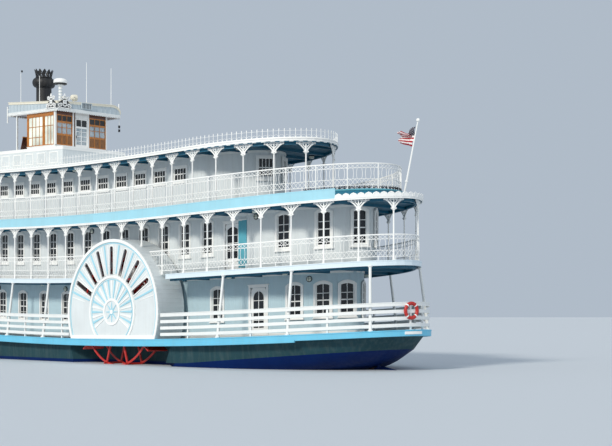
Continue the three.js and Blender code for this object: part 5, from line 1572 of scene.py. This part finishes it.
def build_corner_scroll():
    """Fretwork on the two faces of the parapet's aft port corner"""
    shape = Shape()
    foot = ([(0.02, 0.1), (0.12, 0.2), (0.24, 0.24), (0.34, 0.2)]
            + spiral(0.3, 0.13, 0.085, 50, -300, 8, 0.03))
    head = ([(0.03, 0.6), (0.1, 0.5), (0.2, 0.44), (0.27, 0.48)]
            + spiral(0.21, 0.55, 0.075, 0, 260, 7, 0.022))
    cross = [(-0.32, 0.02), (-0.16, 0.18), (0.0, 0.33), (0.12, 0.42), (0.24, 0.6)]
    for spot in (plane((ROOF_AFT - MIDSHIPS - 0.03, 1.28), (0, 1), (-1, 0)),
                 plane((ROOF_AFT - MIDSHIPS + 0.46, ROOF_PORT + 0.03), (1, 0), (0, 1))):
        spot = raised(spot, PILOT_ROOF_TOP - 0.02)
        # A dark iron-grey plate behind the fretwork paints the shade seen through its gaps
        shape.plate(mirrored(SCROLL_SHADE_PLATE), moved(spot, -0.025), 0.02, 1)
        for side in (1, -1):
            for line, wide in ((foot, 0.055), (head, 0.05), (cross, 0.055)):
                ribbon(shape, [(side * u, v) for u, v in line], spot, wide, 0.04, end_wide=wide * 0.6)
        ribbon(shape, arc(0, 0.33, 0.08, 0, 345, 16), spot, 0.045, 0.044, closed=True)
        shape.plate([(0, 0.76), (-0.07, 0.62), (0, 0.48), (0.07, 0.62)], spot, 0.04)
        block(shape, spot, (-0.42, 0.42), (0, 0.04), (-0.02, 0.02))
    make("pilothouse_corner_scroll", shape, [TRIM_WHITE, IRON])


def build_porch():
    shape = Shape()
    low, high, lean = TEXAS_TOP, PILOT_ROOF_BOTTOM, 0.26
    x0, x1 = 26.03 - MIDSHIPS, 26.11 - MIDSHIPS
    for y0, y1 in ((1.54, 1.62), (-1.62, -1.54)):
        shape.box((x0, y0, low), (x1, y1, high))
        for z0, z1 in ((low, low + 0.09), (high - 0.08, high)):
            shape.box((x0 - 0.012, y0 - 0.012, z0), (x1 + 0.012, y1 + 0.012, z1))
        shape.box((PILOT_FORE - MIDSHIPS + 0.001, y0 + 0.01, low), (x0, y1 - 0.01, low + 0.06))
    spot = plane((25.73 - MIDSHIPS, 0.0), (0, 1), (1, 0))
    leaning = lambda u, v, w=0.0: spot(u, low + v, w - lean * v / 0.75 + lean / 2)
    for i in range(16):
        u = -1.54 + 3.08 * i / 16
        block(shape, leaning, (u + 0.004, u + 3.08 / 16 - 0.004), (0.002, 0.72), (-0.02, 0.02), 1)
    block(shape, leaning, (-1.55, 1.55), (0.7, 0.76), (-0.03, 0.03), 2)
    make("porch_posts_and_screen", shape, [WHITE, BROWN, WOOD], "varnished_wood", ["pilothouse_porch"])


def build_texas():
    shape = Shape()
    aft, fore, half, top = TEXAS_AFT - MIDSHIPS, TEXAS_FORE - MIDSHIPS, TEXAS_HALF, TEXAS_TOP
    outline = lambda inset: rounded(aft, fore, -half, half, inset)
    shape.loft([[(*p, z) for p in outline(0.0)] for z in (top - 0.05, top)], 1)
    for outer, z0, z1, mark in ((0.03, ROOF3_TOP, top - 0.05, 0), (0.008, ROOF3_TOP, ROOF3_TOP + 0.14, 1),
                                (0.01, top - 0.16, top - 0.05, 1)):
        walled(shape, outline(outer), outline(0.06), z0, z1, mark)
    for row in around(outline(0.03), 0.145):
        block(shape, plane(*row), (-0.01, 0.01), (ROOF3_TOP + 0.14, top - 0.16), (-0.005, 0.008))
    grille = (0.62, 10.36, 10.84, 0)
    for side in (1, -1):
        for i in range(5):
            spot = plane((aft + 0.75 + 1.075 * i, side * (half - 0.024)), (1, 0), (0, side))
            shape.ring_plate(arched(*grille, 0.05), arched(*grille), spot, 0.03, 1)
            for k in range(7):
                block(shape, spot, (-0.31, 0.31), (10.375 + 0.065 * k, 10.42 + 0.065 * k),
                      (-0.012, 0.006))
            block(shape, spot, (-0.31, 0.31), (10.36, 10.84), (-0.016, -0.01), 2)
    make("texas_boards", shape, [WALL_WHITE, TRIM_WHITE, GLASS], replaces=["texas"])


def build_steering_wheel():
    """Rim of felloes, eight turned spokes with handles, a hub and its pedestal"""
    shape = Shape()
    spot = raised(plane((24.65 - MIDSHIPS, 0.0), (0, 1), (-1, 0)), TEXAS_TOP + 0.9)
    for out, wide, thick, mark in ((0, 0.06, 0.05, 0), (0.03, 0.02, 0.01, 1)):
        ribbon(shape, arc(0, 0, 0.42, 0, 354, 59), moved(spot, out), wide, thick, mark, closed=True)
    for c, z in circle(8):
        for low, high, radius, end_radius in ((0.05, 0.4, 0.018, 0.014), (0.44, 0.49, 0.016, 0.022),
                                              (0.49, 0.56, 0.022, 0.014)):
            shape.rod(spot(low * c, low * z), spot(high * c, high * z), radius, 10, end_radius)
    shape.rod(spot(0, 0, -0.16), spot(0, 0, 0.05), 0.085, 24)
    shape.rod(spot(0, 0, 0.05), spot(0, 0, 0.07), 0.04, 20, 0.03, 1)
    shape.plate(mirrored([(0.17, -0.89), (0.13, -0.78), (0.08, -0.16), (0.1, 0.04), (0, 0.1)]),
                moved(spot, -0.22), 0.12)
    make("steering_wheel_joinery", shape, [BROWN, IRON], "varnished_wood", ["steering_wheel"], smooth=35)


# Chimneys, in heights above the top roof or, where negative, below the crown's points
CHIMNEY_S, CHIMNEY_Y, CHIMNEY_TOP = 28.68, 1.9, 16.1
BALL_MIDDLE, BALL_HALF, SHAFT_RADIUS, BALL_SWELL = -0.74, 0.27, 0.42, 0.213
CROWN_LOW, PETALS = -0.46, 12
PETAL_ROWS = ((0.0, 0.34, 0.0), (0.12, 0.2, 0.006), (0.3, 0.15, 0.018), (0.46, 0.24, 0.036),
              (0.6, 0.42, 0.05), (0.7, 0.44, 0.06), (0.82, 0.24, 0.074), (0.9, 0.2, 0.082),
              (1.0, 0.03, 0.1))


def revolved(shape, profile, cx, cy, sides=32):
    """Turns a closed outline of (radius, height) about an upright axis"""
    shape.loft([[(cx + r * c, cy + r * s, z) for r, z in profile] for c, s in circle(sides)], closed=True)


def build_chimneys():
    collar, inside = CHIMNEY_TOP + CROWN_LOW, CHIMNEY_TOP - 1.5
    profile = [(r, ROOF3_TOP + z) for r, z in ((0.01, 0), (0.575, 0), (0.575, 0.13), (0.55, 0.16),
                                               (0.47, 0.2), (SHAFT_RADIUS, 0.27))]
    for joint in (11.4, 12.8, 14.2):
        profile += [(SHAFT_RADIUS + out, joint + up)
                    for out, up in ((0, 0), (0.014, 0.01), (0.014, 0.06), (0, 0.07))]
    for t in np.linspace(-1, 1, 17):
        swell = BALL_SWELL * math.sqrt(max(0.0, 1 - t * t))
        profile.append((SHAFT_RADIUS + swell, CHIMNEY_TOP + BALL_MIDDLE + BALL_HALF * t))
    profile += [(r, collar + z) for r, z in ((0.435, -0.005), (0.46, 0), (0.46, 0.035), (0.43, 0.045),
                                             (0.39, 0.045), (0.375, -0.1))]
    profile += [(0.375, inside), (0.01, inside)]
    bead = [(r, collar + z) for r, z in ((0.45, 0.21), (0.466, 0.22), (0.45, 0.23), (0.434, 0.22))]
    petal_height = lambda up: collar + 0.03 - up * (CROWN_LOW + 0.03)
    pitch = 2 * math.pi / PETALS
    for side, word in SIDES:
        shape = Shape()
        x, y = CHIMNEY_S - MIDSHIPS, side * CHIMNEY_Y
        revolved(shape, profile, x, y, 40)
        for i in range(PETALS):
            sections = []
            for up, half, flare in PETAL_ROWS:
                row = []
                for across, radius in ((-1, 0), (0, 0.014), (1, 0), (1, -0.016), (0, -0.006),
                                       (-1, -0.016)):
                    t = pitch * (i + across * half)
                    radius += 0.425 + flare
                    row.append((x + radius * math.cos(t), y + radius * math.sin(t), petal_height(up)))
                sections.append(row)
            shape.loft(sections)
            for up in (0.14, 0.3):
                c, s = circle(PETALS, 0.5)[i]
                radius = 0.425 + 0.02 * up
                spot = plane((x + radius * c, y + radius * s), (-s, c), (c, s))
                ribbon(shape, arc(0, petal_height(up), 0.034, 0, 324, 9), spot, 0.014, 0.014, closed=True)
        revolved(shape, bead, x, y, 40)
        make(f"{word}_chimney_and_crown", shape, [BLACK], "black_paint", [f"{word}_chimney"], smooth=40)


# Gear on the pilothouse roof
ANTENNAS = ((22.45, -0.2, 15.2), (22.45, -1.78, 15.1), (26.3, 1.2, 15.0), (24.6, 1.2, 14.6))
LAMPS = ((0.08, 0.74, -105), (0.66, 0.58, 35))  # y, height over the roof, the way each searchlight faces
RADAR_X, RADAR_FOOT, LAMPS_X = 24.45 - MIDSHIPS, 14.7, 23.16 - MIDSHIPS
RADAR_PARTS = (  # profile, foot, sides, mark
    (((0.16, 0), (0.16, 0.04), (0.1, 0.08), (0.1, 1.47), (0.16, 1.51), (0.16, 1.56)), PILOT_ROOF_TOP, 20,
     0),
    (((0.3, 0), (0.335, 0.02), (0.345, 0.07)), RADAR_FOOT, 32, 1),
    (((0.345, 0.07), (0.36, 0.09), (0.36, 0.17), (0.34, 0.23), (0.28, 0.285), (0.19, 0.315),
      (0.08, 0.328),
      (0.01, 0.33)), RADAR_FOOT, 32, 0),
    *((((0.1, 0), (0.12, 0.01), (0.12, 0.04), (0.1, 0.05)), 13.6 + 0.16 * i, 20, 2) for i in range(6)),
)
LAMP_DRUM = ((-0.16, 0.03), (-0.15, 0.1), (-0.11, 0.14), (-0.02, 0.165), (0.12, 0.17), (0.16, 0.17),
             (0.16, 0.15), (0.13, 0.15))


def build_roof_gear():
    roof = PILOT_ROOF_TOP
    radar, lamps, rods, louvre, hung = (Shape() for _ in range(5))
    for profile, foot, sides, mark in RADAR_PARTS:
        radar.turned(profile, RADAR_X, 0, sides, mark, foot)
    make("radar_dome_and_mast", radar, [TRIM_WHITE, BLACK, ROOF_GREY], replaces=["radar"], smooth=40)

    x = LAMPS_X
    lamps.box((x - 0.04, -0.6, roof + 0.26), (x + 0.04, 0.6, roof + 0.32), 1)
    for y in (-0.55, 0, 0.55):
        lamps.rod((x, y, roof), (x, y, roof + 0.27), 0.025, 10, mark=1)
    x += 0.02
    for y, high, turn in LAMPS:
        c, s = polar(turn)
        spot = raised(plane((x, y), (-s, c), (c, s)), roof + high)
        rings = [[spot(r * a, r * b, out) for a, b in circle(24)] for out, r in LAMP_DRUM]
        lamps.loft(rings[:-1], 0)
        lamps.loft(rings[-2:], 2)
        ribbon(lamps, arc(0, 0, 0.19, 180, 360, 14), spot, 0.035, 0.03, 0)
        lamps.rod((x, y, roof + 0.31), (x, y, roof + high - 0.19), 0.035, 12)
        for end in (-1, 1):
            lamps.rod(spot(end * 0.16, 0), spot(end * 0.205, 0), 0.022, 10, mark=1)
    make("searchlight_housings", lamps, [CREAM, IRON, GLASS], "iron", ["searchlights"], smooth=40)

    for s, y, top in ANTENNAS:
        x = s - MIDSHIPS
        high = top + float(fall(x))
        rods.rod((x, y, roof), (x, y, roof + 0.4), 0.035, 10, 0.028)
        rods.rod((x, y, roof + 0.4), (x, y, high), 0.02, 8, 0.012)
        if (s, y, top) == ANTENNAS[2]:
            rods.rod((x, y, high - 0.02), (x - 0.09, y, high + 0.03), 0.012, 8)
            rods.turned([(0.01, -0.03), (0.045, 0), (0.045, 0.07), (0.01, 0.1)], x - 0.1, y, 10, 1, high)
    x, y = ROOF_FORE - MIDSHIPS + 0.1, 1.66
    rods.rod((x, y, 12.66), (x, y, 13.52), 0.035, 10)
    for height in (13.08, 13.36):
        rods.rod((x, y, height), (x - 0.14, y, height), 0.018, 8)
    make("antennas", rods, [TRIM_WHITE, BLACK], smooth=35)

    spot = plane((ROOF_AFT - MIDSHIPS - 0.01, -0.1), (0, 1), (-1, 0))
    low, high = roof + 0.08, roof + 0.4
    louvre.ring_plate(arched(0.66, low, high, 0), arched(0.6, low + 0.025, high - 0.025, 0), spot, 0.05)
    block(louvre, spot, (-0.3, 0.3), (low + 0.02, high - 0.02), (-0.02, -0.01), 1)
    for u in (-0.27 + 0.09 * i for i in range(7)):
        louvre.loft([[spot(u + across, z, out)
                      for across, out in ((-0.02, 0.0), (0.012, -0.012), (0.02, -0.004), (-0.012, 0.012))]
                     for z in (low + 0.02, high - 0.02)])
    make("roof_louvre", louvre, [ROOF_GREY, IRON], "iron")

    x, y = ROOF_AFT - MIDSHIPS + 0.08, -2.27
    hung.rod((x, y, 12.5), (x, y, PILOT_ROOF_BOTTOM), 0.01, 8, mark=2)
    for top in (12.64, 12.44):
        for profile, mark in ((((0.03, -0.15), (0.062, -0.135), (0.062, -0.12)), 0),
                              (((0.05, -0.12), (0.05, -0.05)), 1),
                              (((0.07, -0.05), (0.066, -0.03), (0.02, 0)), 0)):
            hung.turned(profile, x, y, 12, mark, top)
    hung.rod((x + 0.03, y, roof), (x + 0.03, y, roof + 0.62), 0.028, 10, mark=2)
    make("roof_corner_lamps", hung, [BLACK, GLASS, TRIM_WHITE], "iron", smooth=35)


# Life ring, flagstaff and flag
RING_RADIUS, RING_TUBE, RING_Z = 0.29, 0.072, 2.42


def build_life_ring():
    low, high = (Vector(v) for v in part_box("life_ring"))
    middle = (low + high) / 2
    rail = Path(GUARD, MAIN_RAIL_INSET)
    off = lambda d: math.dist(rail.at(d)[:2], middle[:2])
    _, along, normal = rail.frame(float(min(np.linspace(0, rail.length, 4000), key=off)))
    spot = plane((middle.x, middle.y), along, normal)
    shape = Shape()
    for i in range(8):
        white = i % 2
        half, parts, thick = (5, 5, RING_TUBE * 1.04) if white else (40, 15, RING_TUBE)
        sections = []
        for c, z in (polar(t) for t in np.linspace(45 * i - half, 45 * i + half, parts)):
            sections.append([spot((RING_RADIUS + thick * a) * c, RING_Z + (RING_RADIUS + thick * a) * z,
                                  0.9 * thick * b) for a, b in circle(14)])
        shape.loft(sections, white)
    make("life_ring_float", shape, [RED, TRIM_WHITE], "red_paint", ["life_ring"], smooth=50)


STAFF_FOOT, STAFF_TOP = (1.1, ROOF2_TOP), (0.38, 9.99)
STAFF_FOOT_RADIUS, STAFF_TOP_RADIUS = 0.045, 0.025
HOIST_TOP, HOIST_FOOT = 9.75, 8.98
FLY_TOP, FLY_FOOT = (1.37, 9.69), (1.31, 9.2)
FLAG_COLUMNS, FLAG_ROWS, FLAG_STRIPES = 60, 39, 13
CANTON_COLUMNS, CANTON_ROWS = 24, 21
FLAG_FLAT, CANTON_HANGS = (1.2, 0.9), 0.44  # the canton's share of the hoist as it hangs


def staff_at(z):
    up = (z - STAFF_FOOT[1]) / (STAFF_TOP[1] - STAFF_FOOT[1])
    return STAFF_FOOT[0] + (STAFF_TOP[0] - STAFF_FOOT[0]) * up - MIDSHIPS


def flag_column(a):
    """One upright line of the cloth, a of the way to the fly. Folds take up its spare length."""
    def line(swing):
        points = []
        for j in range(FLAG_ROWS + 1):
            canton = CANTON_ROWS / FLAG_ROWS
            b = float(np.interp(j / FLAG_ROWS, (0, canton, 1), (0, CANTON_HANGS, 1)))
            hoist_z = HOIST_TOP + (HOIST_FOOT - HOIST_TOP) * b
            hoist = np.array([staff_at(hoist_z) + STAFF_TOP_RADIUS + 0.012, hoist_z])
            fly = np.array(FLY_TOP) * (1 - b) + np.array(FLY_FOOT) * b - (MIDSHIPS, 0)
            x, z = hoist * (1 - a) + fly * a
            dip = 0.17 * math.exp(-((a - 0.5) / 0.2) ** 2) * max(0.0, 1 - 1.9 * b)
            ripple = 0.1 * min(1.0, 4 * a, 6 * (1.02 - a)) * math.sin(2 * math.pi * 1.7 * a + 0.8 * b)
            wave = math.sin(3 * math.pi * b + 0.7 * math.sin(math.pi * b) * a) * (1.25 - 0.5 * b)
            points.append((x + 0.2 * swing * math.cos(3 * math.pi * b) * a, swing * wave + ripple,
                           z - dip))
        return points

    low, high = 0.0, 0.3
    for _ in range(30):
        swing = (low + high) / 2
        points = line(swing)
        if sum(math.dist(p, q) for p, q in zip(points, points[1:])) < FLAG_FLAT[1]:
            low = swing
        else:
            high = swing
    return line(low)


def build_flag():
    staff = Shape()
    place = lambda z, y=0.0: (staff_at(z), y, z)
    staff.rod(place(ROOF2_TOP), place(STAFF_TOP[1] - 0.02), STAFF_FOOT_RADIUS, 16, STAFF_TOP_RADIUS)
    for z in (ROOF2_TOP + 0.02, ROOF2_TOP + 0.5):
        staff.rod(place(z), place(z + 0.06), 0.065, 16)
    x = staff_at(STAFF_TOP[1])
    ball = [(0.075 * math.cos(t), STAFF_TOP[1] + 0.075 * math.sin(t)) for t in np.linspace(-1.5, 1.5, 13)]
    staff.turned(ball, x, 0, 20)
    make("flagstaff_spar", staff, [TRIM_WHITE], replaces=["flagstaff"], smooth=50)

    cloth = Shape()
    for i in range(FLAG_COLUMNS + 1):
        cloth.corners += flag_column(i / FLAG_COLUMNS)
    for i in range(FLAG_COLUMNS):
        for j in range(FLAG_ROWS):
            start = i * (FLAG_ROWS + 1) + j
            cloth.faces.append((start, start + 1, start + FLAG_ROWS + 2, start + FLAG_ROWS + 1))
            stripe = j * FLAG_STRIPES // FLAG_ROWS
            star = j % 2 == 1 and i % 4 == (1, 3)[j // 2 % 2] and j < CANTON_ROWS - 1
            in_canton = i < CANTON_COLUMNS and j < CANTON_ROWS
            cloth.marks.append((1 if star else 2) if in_canton else stripe % 2)
    flag = make("flag_cloth_sheet", cloth, [FLAG_RED, FLAG_WHITE, NIGHT_BLUE], "flag_cloth", ["flag"],
                smooth=60)


# Fittings on the walls and under the decks
WALL_LAMPS = ((MAIN_CABIN, 4.95, 3.98), (MAIN_CABIN, 20.2, 3.98), (MAIN_CABIN, 26.0, 3.98),
              (SECOND_CABIN, 7.2, 6.72), (SECOND_CABIN, 18.0, 6.72))
SOFFIT_LAMPS = (  # plan, inset, height, places along
    (ROOF3, 0.55, ROOF3_BOTTOM, (8.4, 13.9, 19.6, 25.2)),
    (ROOF2, 0.65, ROOF2_BOTTOM, (6.6, 20.7, 27.7)),
    (SECOND, 0.8, SECOND_BOTTOM, (5.3, 8.1, 21.4, 27.0)),
)


def bulkhead_lamp(shape, spot, radius=0.13):
    """A round lamp on a wall: base ring, glass and guard bars"""
    for mark, rows in ((0, ((1, 0.0), (1, 0.03), (0.86, 0.045))),
                       (1, ((0.8, 0.04), (0.7, 0.085), (0.4, 0.11), (0.05, 0.118)))):
        shape.loft([[spot(radius * share * c, radius * share * s, out) for c, s in circle(20)]
                    for share, out in rows], mark)
    for c, z in ((1, 0), (0, 1)):
        line = [(-0.86, 0.04), (-0.7, 0.1), (-0.35, 0.125), (0.35, 0.125), (0.7, 0.1), (0.86, 0.04)]
        shape.tube([spot(radius * u * c, radius * u * z, out) for u, out in line], 0.008, 6)


def build_fittings():
    shape, shutter, row = Shape(), Shape(), Shape()
    for side in (1, -1):
        for plan, s, v in WALL_LAMPS:
            path = Path(plan)
            bulkhead_lamp(shape, raised(path.spot(side * path.near(s)), v))
        for plan, inset, z, places in SOFFIT_LAMPS:
            edge = Path(plan, inset)
            for x, y, _, _ in (edge.at(side * edge.near(s)) for s in places):
                shape.turned([(0.05, -0.15), (0.1, -0.13), (0.12, -0.08), (0.12, -0.03)], x, y, 16, 1, z)
                shape.turned([(0.135, -0.035), (0.135, -0.005), (0.07, 0)], x, y, 16, foot=z)
        path = Path(SECOND_CABIN)
        spot, half = path.spot(side * path.near(7.895)), 0.215
        block(shutter, spot, (-half, half), (SECOND_TOP + 0.16, 6.62), (-0.01, 0.03))
        block(shutter, spot, (-half, half), (6.62, 6.68), (-0.01, 0.05), 1)
        for i in range(4):
            u = -half + 0.01 + (2 * half - 0.02) * (i + 0.5) / 4
            block(shutter, spot, (u - 0.042, u + 0.042), (SECOND_TOP + 0.2, 6.58), (0.02, 0.038))
    make("deck_lamps", shape, [IRON, PALE_GLASS], "iron", smooth=40)
    make("second_cabin_shutters", shutter, [TURQUOISE, TRIM_WHITE], "board_paint")
    # Black arcs and stubs along the foot of the third deck's stern rail: painted shadow in the gap under
    # the rail
    edge = Path(THIRD, 0.1)
    reach = edge.near(4.2)
    for distance in np.arange(-reach, reach, 0.2):
        spot = raised(edge.spot(float(distance)), THIRD_TOP)
        ribbon(row, arc(0, 0.12, 0.075, 180, 360, 8), spot, 0.03, 0.02)
        row.rod(spot(0, 0.02, 0), spot(0, 0.14, 0), 0.02, 8)
    make("third_rail_foot_shadow_arcs", row, [BLACK], "iron")


# Stage
EYE, LOOK = (-32.42 - MIDSHIPS, 40.52, 2.39), (0.6933, -0.7207, 0)
FOCAL, SHIFT_Y, FLOOR_REACH = 76.9, 0.1438, 400
LIGHTS = (  # name, width in degrees, strength, colour, direction
    ("key", 10, 2.3, (1.0, 0.95, 0.86), (0.12, -0.8, -0.5)),
    ("fill", 60, 0.3, (1.0, 1.0, 1.0), (0.9, 0.2, -0.4)),
)


def placed(name, data, direction, at=(0, 0, 0)):
    """Puts a camera or a light on the stage"""
    item = bpy.data.objects.new(name, data)
    item.location = at
    item.rotation_mode = "QUATERNION"
    item.rotation_quaternion = Vector(direction).to_track_quat("-Z", "Y")
    bpy.context.scene.collection.objects.link(item)
    return item


def build_stage():
    scene = bpy.context.scene
    camera = bpy.data.cameras.new("camera")
    camera.lens, camera.sensor_width, camera.shift_y, camera.clip_end = FOCAL, 36.0, SHIFT_Y, 500
    scene.camera = placed("camera", camera, LOOK, EYE)

    mesh = bpy.data.meshes.new("floor")
    corners = [(x * FLOOR_REACH, y * FLOOR_REACH, FLOOR_Z)
               for x, y in ((-1, -1), (1, -1), (1, 1), (-1, 1))]
    mesh.from_pydata(corners, [], [(0, 1, 2, 3)])
    material, tree, shader = nodes_of("floor_tone")
    put(tree, shader, Base_Color=(0.62, 0.66, 0.7, 1), Roughness=0.7)
    mesh.materials.append(material)
    floor = bpy.data.objects.new("floor", mesh)
    scene.collection.objects.link(floor)

    scene.world = bpy.data.worlds.new("world")
    scene.world.use_nodes = True
    tree = scene.world.node_tree
    put(tree, tree.nodes["Background"], Color=(0.66, 0.76, 0.88, 1), Strength=0.66)
    scene.view_settings.view_transform = "Standard"
    for name, angle, energy, tint, direction in LIGHTS:
        light = bpy.data.lights.new(name, "SUN")
        light.energy, light.angle, light.color = energy, math.radians(angle), tint
        placed(name, light, direction)


def dress_nodes():
    """Finishes for the model's own nodes that stay in view"""
    finishes = {"white_paint": WHITE, "hull_paint": NAVY, "guard_paint": GUARD_BLUE,
                "board_paint": PALE_BLUE,
                "varnished_wood": WOOD, "black_paint": BLACK, "red_paint": RED, "iron": IRON,
                "flag_cloth": RED}
    for row in frame["record"]["subparts"]:
        node = frame["nodes"][row["node"]]
        node.data.materials.clear()
        node.data.materials.append(finishes[row["material_slot"]])


build_stage()
dress_nodes()
build_hull()
build_decks()
for cabin_name, cabin in CABINS.items():
    build_cabin(cabin_name, cabin)
for build in (build_main_rail, build_second_colonnade, build_third_rail, build_fascias, build_roof_crest,
              build_beams, build_keel, build_guard_details, build_foredeck_gear, build_paddle_boxes,
              build_wheels, build_bearings, build_texas, build_pilot_walls, build_pilot_roof,
              build_corner_scroll, build_porch, build_steering_wheel, build_chimneys, build_roof_gear,
              build_life_ring, build_flag, build_fittings):
    build()

bpy.context.view_layer.update()
